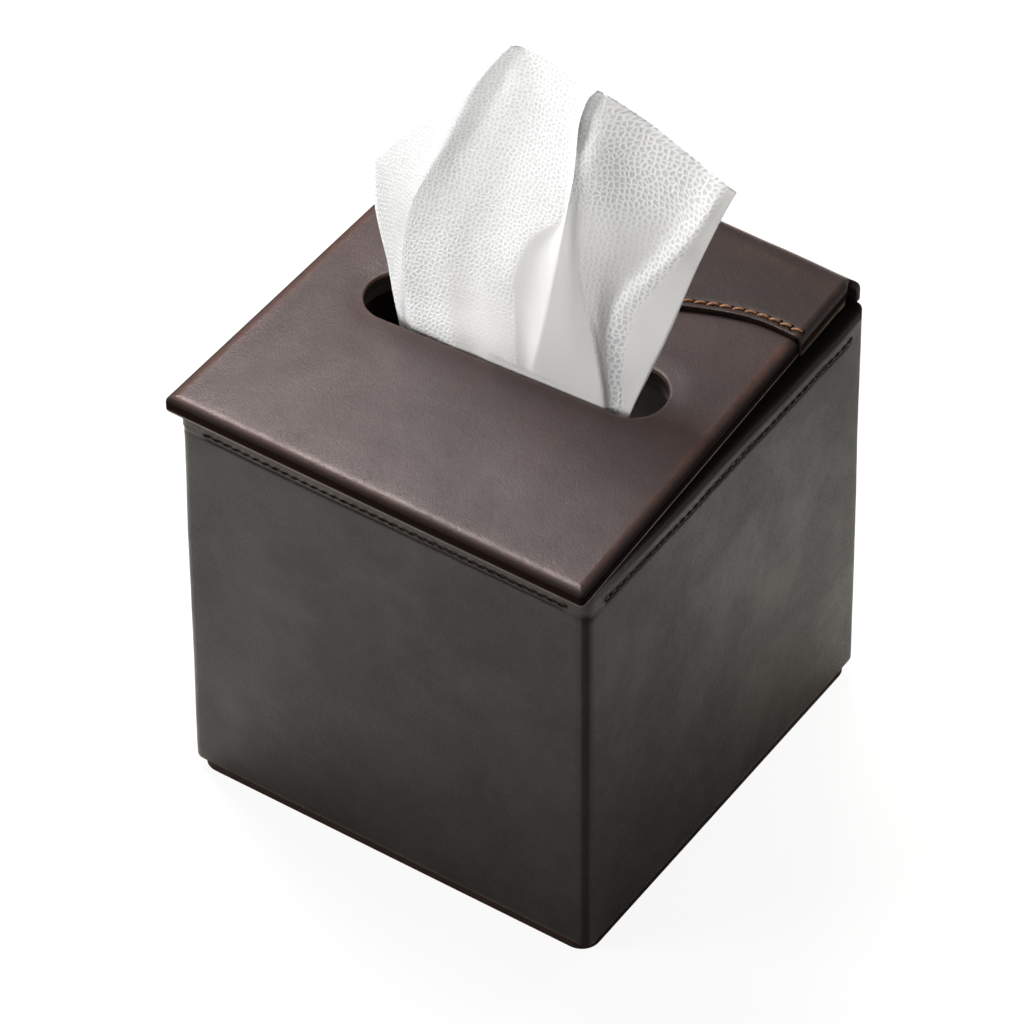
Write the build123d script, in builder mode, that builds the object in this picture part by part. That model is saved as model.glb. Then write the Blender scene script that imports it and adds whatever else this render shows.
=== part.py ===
"""A leather tissue box: a board box in thick dark leather, with a hinged, slotted lid.

Frame: X runs to the right along the front face, Y from the front to the hinge at the back,
Z up. The origin is on the table, under the centre of the box. Millimetres.
"""
import os
from math import cos, degrees, radians, sin, tan

from build123d import *

os.makedirs("parts", exist_ok=True)

# ---------------------------------------------------------------- driving dimensions
BOX_WIDTH = 140.0  # across the front, outside the leather
BOX_DEPTH = 143.0  # front face to back face, outside the leather
RIM_HEIGHT = 148.0  # top of the rim above the table

# layers of the walls, from the outside in
SKIN = 2.0  # outer leather
BOARD = 3.0  # stiff board of the walls
BASE_BOARD = 3.0  # stiff board of the floor
LINING = 0.8  # suede-like lining
CORNER_RADIUS = 3.0  # leather pulled round the upright edges

# pad under the floor
PAD_THICKNESS = 3.6
PAD_INSET = 1.0
PAD_CORNER = 6.0

# rim: the leather is turned over the board and stitched through
TURN_IN_DEPTH = 12.0
TURN_IN_THICKNESS = 1.2
RIM_ROUNDING = 1.2
SKIN_FOOT_ROUNDING = 0.8
CREASE_DROP = 9.4  # pressed line below the rim
CREASE_RADIUS = 0.5
CREASE_DEPTH = 0.35
CREASE_END_MARGIN = 9.0  # from the crease's end to the box's upright edge

# lid
LID_SIDE_INSET = 0.5  # from the box's sides
LID_THICKNESS = 7.8  # with the panel under it
LID_OVERHANG = 6.2  # past the front face
LID_REAR_SETBACK = 7.6  # from the lid's rear end to the back face
LID_RISE = 0.8  # degrees: the hinge leather holds the rear of the lid up
LID_SKIN = 1.6
LID_CORNER = 2.5
LID_TOP_ROUNDING = 2.5
LID_FOOT_ROUNDING = 1.1
LID_UNDERLAY = 1.2  # leather turned under the board, and the lining between it
LID_TURN_UNDER = 11.0
LID_PANEL = 2.0  # lined panel that stands out under the lid and lies on the rim
LID_PANEL_INSET = 3.4  # from the lid's sides and rear end
LID_PANEL_SETBACK = 1.4  # from the box's front face

# slot in the lid
SLOT_LENGTH = 99.0
SLOT_WIDTH = 20.4
SLOT_SHIFT = -5.0  # from the box's centre, towards the front

# hinge leather: up the back, over the edge and onto the lid
HINGE_LEATHER = 2.0
HINGE_BEND_RADIUS = 7.5  # outside of the bend
HINGE_PARTING = 0.3  # where the lid's part of the bend meets the wall's part
PARTING_ANGLE = 45.0  # round the bend from the back wall
HINGE_SIDE_INSET = 1.0  # from the box's sides
FLAP_SIDE_Y = 39.0  # front edge of the flap at the lid's sides
FLAP_TONGUE = 17.0  # how much further its middle reaches to the front
FLAP_STRAIGHT = 7.0  # straight edge beside each side of the lid
FLAP_LIP = 0.9  # leather drawn down over the lid's sides
FLAP_LIP_DROP = 5.2
FLAP_SIDE_ROUNDING = 1.6
FLAP_EDGE_ROUNDING = 0.6

# folded tissues
STACK_SIDE = 108.0
STACK_HEIGHT = 100.0
STACK_CORNER = 3.0
STACK_EDGE = 2.0

# the tissue that stands in the slot, pinched there and spread like a fan above
TISSUE_THICKNESS = 1.0
TISSUE_GAP = 0.3  # from its foremost fold to the slot's front edge
TISSUE_LEAN = 0.2  # backwards, per unit of height
TISSUE_TAIL = 9.0  # below the lid
TISSUE_TAIL_DRAW = 0.86  # the tail's width as a share of its width in the slot
TISSUE_PEAK = 107.5  # height of its peak above the lid
# The heights of the levels between which its folds run straight, as shares of the peak's.
FOLD_LEVELS = (0.0, 0.22, 0.45, 1.02)
# Its folds from left to right, level by level: first their places as shares of the slot's
# length, then how far they lie behind the leaning sheet, as shares of the slot's width.
FOLDS = [
    ((-0.385, -0.455, -0.480, -0.525), (0.17, 0.03, -0.16, -0.44)),  # left edge
    ((-0.080, -0.184, -0.236, -0.037), (-0.05, -0.13, -0.26, -0.41)),  # fold to the peak
    ((-0.030, -0.116, -0.150, -0.024), (0.01, 0.06, 0.11, -0.25)),
    ((0.073, 0.038, 0.106, 0.180), (-0.12, -0.15, -0.21, -0.20)),  # rounded fold
    ((0.098, 0.093, 0.143, 0.205), (0.13, 0.12, -0.08, -0.25)),
    ((0.133, 0.152, 0.174, 0.230), (-0.15, -0.22, -0.29, -0.34)),  # long ridge
    ((0.254, 0.238, 0.190, 0.240), (-0.16, -0.26, -0.27, -0.22)),  # cone in front
    ((0.336, 0.261, 0.206, 0.251), (0.10, 0.10, 0.08, 0.08)),
    ((0.366, 0.312, 0.364, 0.579), (0.16, 0.23, 0.26, 0.04)),
    ((0.408, 0.349, 0.445, 0.758), (-0.05, -0.06, -0.19, -0.07)),  # fold to the right corner
    ((0.442, 0.507, 0.574, 0.778), (0.05, 0.05, 0.01, -0.20)),  # right edge
]
# Its upper edge from left to right: place as a share of the slot's length, and height as a
# share of the peak's.
TISSUE_EDGE = [
    (-0.91, 0.17),
    (-0.477, 0.433),
    (-0.340, 0.619),
    (-0.177, 0.824),
    (-0.038, 1.0),
    (-0.012, 0.978),
    (0.078, 0.932),
    (0.247, 0.962),
    (0.273, 0.916),
    (0.369, 0.872),
    (0.551, 0.816),
    (0.698, 0.817),
    (1.0, 0.73),
]

# ---------------------------------------------------------------- derived values
FLOOR_Z = PAD_THICKNESS + BASE_BOARD
LINING_Z = FLOOR_Z + LINING
BOARD_TOP = RIM_HEIGHT - SKIN
TURN_IN_FOOT = RIM_HEIGHT - TURN_IN_DEPTH
BOARD_WIDTH = BOX_WIDTH - 2 * SKIN
BOARD_DEPTH = BOX_DEPTH - 2 * SKIN
INSIDE_WIDTH = BOARD_WIDTH - 2 * BOARD
INSIDE_DEPTH = BOARD_DEPTH - 2 * BOARD
FRONT_Y = -BOX_DEPTH / 2
BACK_Y = BOX_DEPTH / 2
BOARD_CORNER = CORNER_RADIUS - SKIN + 0.5  # leaves a hair of air inside the leather's bend

LID_WIDTH = BOX_WIDTH - 2 * LID_SIDE_INSET
LID_REAR_Y = BACK_Y - LID_REAR_SETBACK
SLOPE = tan(radians(LID_RISE))
# the lid's own plane lies on the rim's front edge and rises to the back
LID_PLANE = Plane(
    origin=(0, FRONT_Y, RIM_HEIGHT),
    x_dir=(1, 0, 0),
    z_dir=(0, -sin(radians(LID_RISE)), cos(radians(LID_RISE))),
)
LID_LENGTH = (LID_REAR_Y - FRONT_Y + LID_OVERHANG) / cos(radians(LID_RISE))
LID_MIDDLE = LID_LENGTH / 2 - LID_OVERHANG  # along the lid's plane, from the box's front face
SLOT_MIDDLE = SLOT_SHIFT - FRONT_Y  # likewise
SLOT_FRONT_Y = SLOT_SHIFT - SLOT_WIDTH / 2
LID_END = LID_LENGTH - LID_OVERHANG  # along the lid's plane, from the box's front face

WALLS = {"front": (0, -1), "right": (1, 0), "back": (0, 1), "left": (-1, 0)}


def lid_top_z(y):
    """Height of the lid's top face above the table at depth y."""
    return RIM_HEIGHT + (y - FRONT_Y) * SLOPE + LID_THICKNESS / cos(radians(LID_RISE))


def keep_wall_sector(outward):
    """Inside a part: keep what lies between the mitres at this wall's two upright edges."""
    across = (-outward[1], outward[0])
    for side in (1, -1):
        corner = (
            (outward[0] + side * across[0]) * BOX_WIDTH / 2,
            (outward[1] + side * across[1]) * BOX_DEPTH / 2,
            0,
        )
        inwards = (outward[0] - side * across[0], outward[1] - side * across[1], 0)
        split(bisect_by=Plane(origin=corner, z_dir=inwards), keep=Keep.TOP)


def finish(builder, label):
    """Name a finished piece and write it to its own file."""
    builder.part.label = label
    export_step(builder.part, f"parts/{label}.step")


# ---------------------------------------------------------------- floor
with BuildPart() as base_pad:
    with BuildSketch():
        RectangleRounded(BOX_WIDTH - 2 * PAD_INSET, BOX_DEPTH - 2 * PAD_INSET, PAD_CORNER)
    extrude(amount=PAD_THICKNESS)
finish(base_pad, "base_pad")

with BuildPart() as base_board:
    with BuildSketch(Plane.XY.offset(PAD_THICKNESS)):
        RectangleRounded(BOARD_WIDTH, BOARD_DEPTH, BOARD_CORNER)
    extrude(amount=BASE_BOARD)
finish(base_board, "base_board")

with BuildPart() as base_lining:
    with BuildSketch(Plane.XY.offset(FLOOR_Z)):
        Rectangle(INSIDE_WIDTH, INSIDE_DEPTH)
    extrude(amount=LINING)
finish(base_lining, "base_lining")

# ---------------------------------------------------------------- walls
# The front and back boards run the whole width, and the side boards stand between them.
for name, (out_x, out_y) in WALLS.items():
    with BuildPart() as wall_board:
        with BuildSketch(Plane.XY.offset(FLOOR_Z)):
            if out_y:
                with Locations((0, out_y * (BOARD_DEPTH - BOARD) / 2)):
                    board_face = Rectangle(BOARD_WIDTH, BOARD)
                outer_corners = board_face.vertices().group_by(Axis.Y)[-1 if out_y > 0 else 0]
                fillet(outer_corners, BOARD_CORNER)
            else:
                with Locations((out_x * (BOARD_WIDTH - BOARD) / 2, 0)):
                    Rectangle(BOARD, INSIDE_DEPTH)
        extrude(amount=BOARD_TOP - FLOOR_Z)
    finish(wall_board, f"{name}_board")

# The lining stands on the floor's lining and stops under the turned-in leather.
for name, (out_x, out_y) in WALLS.items():
    with BuildPart() as wall_lining:
        with BuildSketch(Plane.XY.offset(LINING_Z)):
            if out_y:
                with Locations((0, out_y * (INSIDE_DEPTH - LINING) / 2)):
                    Rectangle(INSIDE_WIDTH, LINING)
            else:
                with Locations((out_x * (INSIDE_WIDTH - LINING) / 2, 0)):
                    Rectangle(LINING, INSIDE_DEPTH - 2 * LINING)
        extrude(amount=TURN_IN_FOOT - LINING_Z)
    finish(wall_lining, f"{name}_lining")


def turned_rim(inset, corner):
    """Inside a part: the leather over the board's top edge and down its inner side."""
    with BuildSketch(Plane.XY.offset(BOARD_TOP)) as over:
        RectangleRounded(BOX_WIDTH - 2 * inset, BOX_DEPTH - 2 * inset, corner)
        Rectangle(INSIDE_WIDTH, INSIDE_DEPTH, mode=Mode.SUBTRACT)
    extrude(over.sketch, amount=SKIN)
    with BuildSketch(Plane.XY.offset(TURN_IN_FOOT)) as inner_side:
        Rectangle(INSIDE_WIDTH, INSIDE_DEPTH)
        Rectangle(
            INSIDE_WIDTH - 2 * TURN_IN_THICKNESS,
            INSIDE_DEPTH - 2 * TURN_IN_THICKNESS,
            mode=Mode.SUBTRACT,
        )
    extrude(inner_side.sketch, amount=TURN_IN_DEPTH)


def outer_skin():
    """Inside a part: the leather ring round the boards, from the pad to the rim."""
    with BuildSketch(Plane.XY.offset(PAD_THICKNESS)) as ring:
        RectangleRounded(BOX_WIDTH, BOX_DEPTH, CORNER_RADIUS)
        RectangleRounded(BOARD_WIDTH, BOARD_DEPTH, CORNER_RADIUS - SKIN, mode=Mode.SUBTRACT)
    skin = extrude(ring.sketch, amount=RIM_HEIGHT - PAD_THICKNESS)
    foot = skin.faces().sort_by(Axis.Z)[0].outer_wire().edges()
    fillet(foot, SKIN_FOOT_ROUNDING)


def pressed_crease(outward):
    """Inside a part: the half-round line pressed into one face below its row of stitches."""
    along_x = outward[1] != 0
    face_length = BOX_WIDTH if along_x else BOX_DEPTH
    face_distance = BOX_DEPTH / 2 if along_x else BOX_WIDTH / 2
    reach = face_distance + CREASE_RADIUS - CREASE_DEPTH
    place = (outward[0] * reach, outward[1] * reach, RIM_HEIGHT - CREASE_DROP)
    turn = (0, 90, 0) if along_x else (90, 0, 0)
    with Locations(Location(place, turn)):
        Cylinder(CREASE_RADIUS, face_length - 2 * CREASE_END_MARGIN, mode=Mode.SUBTRACT)


for name in ("front", "right", "left"):
    with BuildPart() as wall_leather:
        outer_skin()
        turned_rim(SKIN / 2, CORNER_RADIUS - SKIN / 2)  # starts inside the skin, to join it
        rim_top = wall_leather.faces().filter_by(Plane.XY).sort_by(Axis.Z)[-1]
        fillet(rim_top.edges(), RIM_ROUNDING)
        pressed_crease(WALLS[name])
        keep_wall_sector(WALLS[name])
    finish(wall_leather, f"{name}_leather")

# At the back the rim has its own facing, because the wall's leather runs on as the hinge.
with BuildPart() as back_rim_facing:
    turned_rim(SKIN, BOARD_CORNER)
    rim_top = back_rim_facing.faces().filter_by(Plane.XY).sort_by(Axis.Z)[-1]
    fillet(rim_top.inner_wires()[0].edges(), RIM_ROUNDING)
    keep_wall_sector(WALLS["back"])
finish(back_rim_facing, "back_rim_facing")

# ---------------------------------------------------------------- hinge
# The bend's centre lies so that its inside meets the lid's top face and the back wall.
# The leather is parted on a radius of the bend, and the pivot is the outer end of that
# radius: opening the lid only widens the parting.
HINGE_WIDTH = BOX_WIDTH - 2 * HINGE_SIDE_INSET
BEND_INNER = HINGE_BEND_RADIUS - HINGE_LEATHER
BEND_Y = BACK_Y - HINGE_BEND_RADIUS
BEND_Z = lid_top_z(BEND_Y) - BEND_INNER / cos(radians(LID_RISE))
PARTING_HALF = degrees(HINGE_PARTING / 2 / HINGE_BEND_RADIUS)
PIVOT_Y = BEND_Y + HINGE_BEND_RADIUS * cos(radians(PARTING_ANGLE))
PIVOT_Z = BEND_Z + HINGE_BEND_RADIUS * sin(radians(PARTING_ANGLE))
FLAT_ANGLE = 90 + LID_RISE  # where the bend runs out into the lid's plane


def bend_face(start, end):
    """The bend's section on the YZ plane, between two angles."""
    with BuildSketch(Plane.YZ) as section:
        with BuildLine():
            outer = CenterArc((BEND_Y, BEND_Z), HINGE_BEND_RADIUS, start, end - start)
            inner = CenterArc((BEND_Y, BEND_Z), BEND_INNER, start, end - start)
            Line(outer @ 0, inner @ 0)
            Line(outer @ 1, inner @ 1)
        make_face()
    return section.sketch


with BuildPart() as back_leather:
    outer_skin()
    keep_wall_sector(WALLS["back"])
    with BuildSketch(Plane.YZ):
        with Locations((BACK_Y - HINGE_LEATHER / 2, (RIM_HEIGHT + BEND_Z) / 2)):
            Rectangle(HINGE_LEATHER, BEND_Z - RIM_HEIGHT)
    extrude(amount=HINGE_WIDTH / 2, both=True)
    extrude(bend_face(0, PARTING_ANGLE - PARTING_HALF), amount=HINGE_WIDTH / 2, both=True)
finish(back_leather, "back_leather")

# ---------------------------------------------------------------- lid
LID_UP = Axis((0, 0, 0), LID_PLANE.z_dir)
SLOT_PLACE = (0, SLOT_MIDDLE)


def lid_plate(inset, low, high):
    """Inside a part: the outline of a plate this far inside the lid's edges, and its height."""
    with BuildSketch(LID_PLANE.offset(low)) as plate:
        with Locations((0, LID_MIDDLE)):
            Rectangle(LID_WIDTH - 2 * inset, LID_LENGTH - 2 * inset)
    return plate.sketch, high - low


def cut_slot(low, high):
    """Inside a part: the oblong slot, cut square to the lid's plane."""
    with BuildSketch(LID_PLANE.offset(low)) as slot:
        with Locations((0, SLOT_MIDDLE)):
            SlotOverall(SLOT_LENGTH, SLOT_WIDTH)
    extrude(slot.sketch, amount=high - low, mode=Mode.SUBTRACT)


BOARD_LOW = LID_PANEL + LID_UNDERLAY
BOARD_HIGH = LID_THICKNESS - LID_SKIN

with BuildPart() as lid_leather:
    outline, height = lid_plate(0, LID_PANEL, LID_THICKNESS)
    block = extrude(outline, amount=height)
    front_corners = block.edges().filter_by(LID_UP).sort_by(Axis.Y)[:2]
    fillet(front_corners, LID_CORNER)
    rear = lid_leather.faces().sort_by(Axis.Y)[-1]
    lid_top = lid_leather.faces().sort_by(LID_UP)[-1]
    fillet(lid_top.edges() - rear.edges(), LID_TOP_ROUNDING)
    rear = lid_leather.faces().sort_by(Axis.Y)[-1]
    lid_foot = lid_leather.faces().sort_by(LID_UP)[0]
    fillet(lid_foot.edges() - rear.edges(), LID_FOOT_ROUNDING)
    pocket, height = lid_plate(LID_SKIN, BOARD_LOW, BOARD_HIGH)
    extrude(pocket, amount=height, mode=Mode.SUBTRACT)
    underside, height = lid_plate(LID_TURN_UNDER, LID_PANEL, BOARD_LOW)
    extrude(underside, amount=height, mode=Mode.SUBTRACT)
    cut_slot(0, LID_THICKNESS)
finish(lid_leather, "lid_leather")

with BuildPart() as lid_board:
    outline, height = lid_plate(LID_SKIN, BOARD_LOW, BOARD_HIGH)
    extrude(outline, amount=height)
    cut_slot(BOARD_LOW, BOARD_HIGH)
finish(lid_board, "lid_board")

PANEL_START = LID_PANEL_SETBACK
PANEL_END = LID_END - LID_PANEL_INSET

with BuildPart() as lid_lining:
    outline, height = lid_plate(LID_TURN_UNDER, LID_PANEL, BOARD_LOW)
    extrude(outline, amount=height)
    with BuildSketch(LID_PLANE) as panel:
        with Locations((0, (PANEL_START + PANEL_END) / 2)):
            Rectangle(LID_WIDTH - 2 * LID_PANEL_INSET, PANEL_END - PANEL_START)
    extrude(panel.sketch, amount=LID_PANEL)
    cut_slot(0, BOARD_LOW)
finish(lid_lining, "lid_lining")

# The flap lies on the lid. Its front edge swings forward to a tongue in the middle, and at
# the sides it is drawn down over the lid's edges.
ALONG = 1 / cos(radians(LID_RISE))  # length on the lid's plane per unit of depth
FLAP_SIDE = (FLAP_SIDE_Y - FRONT_Y) * ALONG
FLAP_TIP = FLAP_SIDE - FLAP_TONGUE
FLAP_HALF_WIDTH = LID_WIDTH / 2 + FLAP_LIP
FLAP_CURVE_HALF = LID_WIDTH / 2 - FLAP_STRAIGHT
BEND_ALONG = (BEND_Y - FRONT_Y) * cos(radians(LID_RISE)) + (BEND_Z - RIM_HEIGHT) * sin(
    radians(LID_RISE)
)

with BuildPart() as hinge_flap:
    with BuildSketch(LID_PLANE.offset(LID_THICKNESS)):
        with BuildLine():
            Line((0, LID_END), (FLAP_HALF_WIDTH, LID_END))
            Line((FLAP_HALF_WIDTH, LID_END), (FLAP_HALF_WIDTH, FLAP_SIDE))
            Line((FLAP_HALF_WIDTH, FLAP_SIDE), (FLAP_CURVE_HALF, FLAP_SIDE))
            halfway = (FLAP_CURVE_HALF / 2, (FLAP_SIDE + FLAP_TIP) / 2)
            TangentArc((FLAP_CURVE_HALF, FLAP_SIDE), halfway, tangent=(-1, 0))
            TangentArc((0, FLAP_TIP), halfway, tangent=(1, 0))
            mirror(about=Plane.YZ)
        make_face()
    extrude(amount=HINGE_LEATHER)
    with BuildSketch(LID_PLANE.offset(LID_THICKNESS - FLAP_LIP_DROP)):
        with Locations((0, (FLAP_SIDE + LID_END) / 2)):
            Rectangle(2 * FLAP_HALF_WIDTH, LID_END - FLAP_SIDE)
            Rectangle(LID_WIDTH, LID_END - FLAP_SIDE, mode=Mode.SUBTRACT)
    extrude(amount=FLAP_LIP_DROP)
    top_face = hinge_flap.faces().sort_by(LID_UP)[-1]
    side_edges = top_face.edges().sort_by(Axis.X)
    fillet([side_edges[0], side_edges[-1]], FLAP_SIDE_ROUNDING)
    top_face = hinge_flap.faces().sort_by(LID_UP)[-1]
    front_edges = [e for e in top_face.edges() if e.center().Y < FLAP_SIDE_Y + FLAP_STRAIGHT]
    fillet(front_edges, FLAP_EDGE_ROUNDING)
    with BuildSketch(LID_PLANE.offset(LID_THICKNESS)):
        with Locations((0, (LID_END + BEND_ALONG) / 2)):
            Rectangle(HINGE_WIDTH, BEND_ALONG - LID_END)
    extrude(amount=HINGE_LEATHER)
    extrude(
        bend_face(PARTING_ANGLE + PARTING_HALF, FLAT_ANGLE),
        amount=HINGE_WIDTH / 2,
        both=True,
    )
finish(hinge_flap, "hinge_flap")

# ---------------------------------------------------------------- tissues
with BuildPart() as tissue_stack:
    with BuildSketch(Plane.XY.offset(LINING_Z)):
        RectangleRounded(STACK_SIDE, STACK_SIDE, STACK_CORNER)
    extrude(amount=STACK_HEIGHT)
    fillet(tissue_stack.faces().sort_by(Axis.Z)[-1].edges(), STACK_EDGE)
finish(tissue_stack, "tissue_stack")

# The standing sheet is a ruled loft through its levels, with its folds as corners of each
# section, trimmed to its upper edge.
FOREMOST_FOLD = -min(depths[0] for _, depths in FOLDS) * SLOT_WIDTH
SHEET_FOOT_Y = SLOT_FRONT_Y + TISSUE_GAP + FOREMOST_FOLD
LID_TOP_AT_SLOT = lid_top_z(SLOT_FRONT_Y)
SLOT_FOLD_MIDDLE = (FOLDS[0][0][0] + FOLDS[-1][0][0]) / 2


def tissue_section(level, rise, draw=1.0):
    """The sheet's section at a height above the lid; draw pulls it in towards its middle."""
    sheet_y = SHEET_FOOT_Y + TISSUE_LEAN * max(rise, 0)
    front = []
    for places, depths in FOLDS:
        place = SLOT_FOLD_MIDDLE + (places[level] - SLOT_FOLD_MIDDLE) * draw
        front.append((place * SLOT_LENGTH, sheet_y + depths[level] * SLOT_WIDTH))
    back = [(x, y + TISSUE_THICKNESS) for x, y in reversed(front)]
    with BuildSketch(Plane.XY.offset(LID_TOP_AT_SLOT + rise)) as section:
        with BuildLine():
            Polyline(*front, *back, close=True)
        make_face()
    return section.sketch.face()


with BuildPart() as tissue_sheet:
    tail_rise = RIM_HEIGHT - TISSUE_TAIL - LID_TOP_AT_SLOT
    sections = [tissue_section(0, tail_rise, TISSUE_TAIL_DRAW)]
    for level, share in enumerate(FOLD_LEVELS):
        sections.append(tissue_section(level, share * TISSUE_PEAK))
    loft(sections, ruled=True)
    with BuildSketch(Plane.XZ):
        with BuildLine():
            edge = [
                (place * SLOT_LENGTH, LID_TOP_AT_SLOT + share * TISSUE_PEAK)
                for place, share in TISSUE_EDGE
            ]
            ceiling = LID_TOP_AT_SLOT + 1.1 * TISSUE_PEAK
            Polyline(*edge, (edge[-1][0], ceiling), (edge[0][0], ceiling), close=True)
        make_face()
    extrude(amount=BOX_DEPTH / 2, both=True, mode=Mode.SUBTRACT)
finish(tissue_sheet, "tissue_sheet")

print(f"hinge pivot: y {PIVOT_Y:.3f}, z {PIVOT_Z:.3f}")
print(f"slot: front edge y {SLOT_FRONT_Y:.2f}, lid top there z {LID_TOP_AT_SLOT:.2f}")
print(f"sheet in the slot: y {SHEET_FOOT_Y - FOREMOST_FOLD:.2f} to", end=" ")
print(f"{SHEET_FOOT_Y + max(d[0] for _, d in FOLDS) * SLOT_WIDTH + TISSUE_THICKNESS:.2f}")
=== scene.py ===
# %% [markdown]
# # A leather tissue box, from its frame to its finish
#
# The real box is a board box wrapped in thick dark leather. Its lid is a leather-covered
# board with an oblong slot, held by a broad strip of the back wall's own leather that bends
# over and lies on the lid as a stitched flap. A folded tissue stands in the slot.
#
# The solids come from the frame. They have the right sizes, but a machine's sharpness.
# This lesson dresses them: leather that gives a little at its edges, thread, raw cut edges,
# and paper that is thin and folded. All lengths below are in millimetres, as a maker would
# measure them, and one helper turns them into Blender's metres.

# %% The frame
import math

import bmesh
import bpy
import numpy as np
from mathutils import Matrix, Vector


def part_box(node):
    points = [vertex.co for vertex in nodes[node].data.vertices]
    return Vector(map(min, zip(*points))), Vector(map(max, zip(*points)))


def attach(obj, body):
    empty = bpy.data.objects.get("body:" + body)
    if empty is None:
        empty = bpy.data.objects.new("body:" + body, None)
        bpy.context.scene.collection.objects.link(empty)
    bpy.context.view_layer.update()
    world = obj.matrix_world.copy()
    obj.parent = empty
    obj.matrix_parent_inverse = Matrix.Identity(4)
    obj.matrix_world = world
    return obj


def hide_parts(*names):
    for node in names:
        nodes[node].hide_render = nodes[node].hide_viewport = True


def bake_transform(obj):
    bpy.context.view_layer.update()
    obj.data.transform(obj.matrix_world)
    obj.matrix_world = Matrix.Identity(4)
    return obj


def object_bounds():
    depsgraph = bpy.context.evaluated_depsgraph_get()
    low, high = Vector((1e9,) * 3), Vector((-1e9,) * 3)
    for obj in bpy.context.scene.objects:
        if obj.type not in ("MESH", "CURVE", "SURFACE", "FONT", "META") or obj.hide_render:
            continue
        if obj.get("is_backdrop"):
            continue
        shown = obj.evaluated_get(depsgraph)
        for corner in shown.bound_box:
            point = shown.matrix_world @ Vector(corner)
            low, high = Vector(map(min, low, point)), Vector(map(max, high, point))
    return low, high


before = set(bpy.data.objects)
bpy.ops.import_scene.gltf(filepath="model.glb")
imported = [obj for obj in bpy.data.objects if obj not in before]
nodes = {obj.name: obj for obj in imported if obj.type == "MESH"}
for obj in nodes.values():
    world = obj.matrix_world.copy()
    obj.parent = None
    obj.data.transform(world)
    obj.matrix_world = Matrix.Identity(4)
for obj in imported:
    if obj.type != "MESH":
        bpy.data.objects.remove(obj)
cad_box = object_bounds()
MM = 0.001
print("nodes in the frame:", len(nodes))

# %% [markdown]
# ## The camera
#
# The photograph looks down on the front right corner from a long way off, so upright edges
# hardly run together. A long lens far away gives the same picture. The camera is placed
# by what it aims at, its azimuth round the box, its height above the horizon and a hair of
# roll, which is how one would set up a tripod.

# %% Camera
AIM = Vector((-6.03, 2.13, 79.18)) * MM
AZIMUTH = math.radians(34.324)
ELEVATION = math.radians(44.839)
ROLL = math.radians(-0.374)
CAMERA_DISTANCE = 2.58473
LENS = 312.13

looking = Vector(
    (
        -math.sin(AZIMUTH) * math.cos(ELEVATION),
        math.cos(AZIMUTH) * math.cos(ELEVATION),
        -math.sin(ELEVATION),
    )
)
level_right = Vector((math.cos(AZIMUTH), math.sin(AZIMUTH), 0))
level_up = level_right.cross(looking)
camera_right = level_right * math.cos(ROLL) + level_up * math.sin(ROLL)
camera_up = level_up * math.cos(ROLL) - level_right * math.sin(ROLL)

camera_data = bpy.data.cameras.new("camera")
camera_data.lens = LENS
camera_data.sensor_width = 36
camera_data.clip_start, camera_data.clip_end = 0.1, 20
camera = bpy.data.objects.new("camera", camera_data)
turn = Matrix((camera_right, camera_up, -looking)).transposed().to_4x4()
camera.matrix_world = Matrix.Translation(AIM - looking * CAMERA_DISTANCE) @ turn
bpy.context.scene.collection.objects.link(camera)
bpy.context.scene.camera = camera
print("camera at", [round(x, 3) for x in camera.location])

# %% [markdown]
# ## Sizes that the pieces share
#
# The leather pieces are made again here with softer shapes, so the few sizes that place
# them are written once. They are the same as the solid's: a body 140 by 143 with its rim
# 148 above the table, and a lid 7.8 thick that rises a little to the back. Two things are
# the photograph's alone, because the solid's lid is a plain rectangle: the lid narrows to
# the back, and its slot sits a little out of square.

# %% Shared sizes
HALF_WIDTH = 70.0
HALF_DEPTH = 71.5
RIM = 148.0
FOOT = 3.6
LID_TILT = math.radians(0.8)
LID_THICK = 7.8
LID_HALF = 69.5
LID_FRONT = -77.7
LID_REAR = 63.9
SLOT_HALF = 49.5
SLOT_RADIUS = 10.2
SLOT_Y = -5.0
HINGE_Y = 69.303
LID_LEFT = (-70.6, -65.0)  # the lid's edges in front and at the hinge, where it is narrower
LID_RIGHT = (72.0, 66.8)
SLOT_TURN = math.radians(3.4)  # the slot was cut a little out of square
SLOT_SHIFT = 0.2
wide_in_front, wide_at_hinge = (r - l for l, r in zip(LID_LEFT, LID_RIGHT))
print(f"the lid narrows from {wide_in_front:.1f} to {wide_at_hinge:.1f} mm")


def narrowed(x, y):
    """Moves x so that the lid narrows from its front edge to the hinge."""
    x = np.asarray(x, float)
    back = (np.asarray(y, float) - LID_FRONT) / (LID_REAR - LID_FRONT)
    right = LID_RIGHT[0] + (LID_RIGHT[1] - LID_RIGHT[0]) * back
    left = LID_LEFT[0] + (LID_LEFT[1] - LID_LEFT[0]) * back
    return x * np.where(x > 0, right, -left) / LID_HALF


def turned_slot(x, y, slot_y, share):
    """Turns points round the slot's middle, by a share of the slot's own turn."""
    c, s = np.cos(SLOT_TURN * share), np.sin(SLOT_TURN * share)
    return x * c - (y - slot_y) * s, slot_y + SLOT_SHIFT * share + x * s + (y - slot_y) * c


def on_lid(points):
    """Turns points given on the lid's own plane (x, y from the front rim, height) upright."""
    points = np.asarray(points, float)
    x, along, high = points[..., 0], points[..., 1], points[..., 2]
    c, s = math.cos(LID_TILT), math.sin(LID_TILT)
    return np.stack([x, -HALF_DEPTH + along * c - high * s, RIM + along * s + high * c], -1)


def smooth_step(x, low, high):
    t = np.clip((np.asarray(x, float) - low) / (high - low), 0, 1)
    return t * t * (3 - 2 * t)


def bell(x, width):
    """1 at x = 0, falling off softly to both sides over about this width."""
    return np.exp(-((x / width) ** 2))


FULL_TURN = 6.28  # in radians


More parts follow.
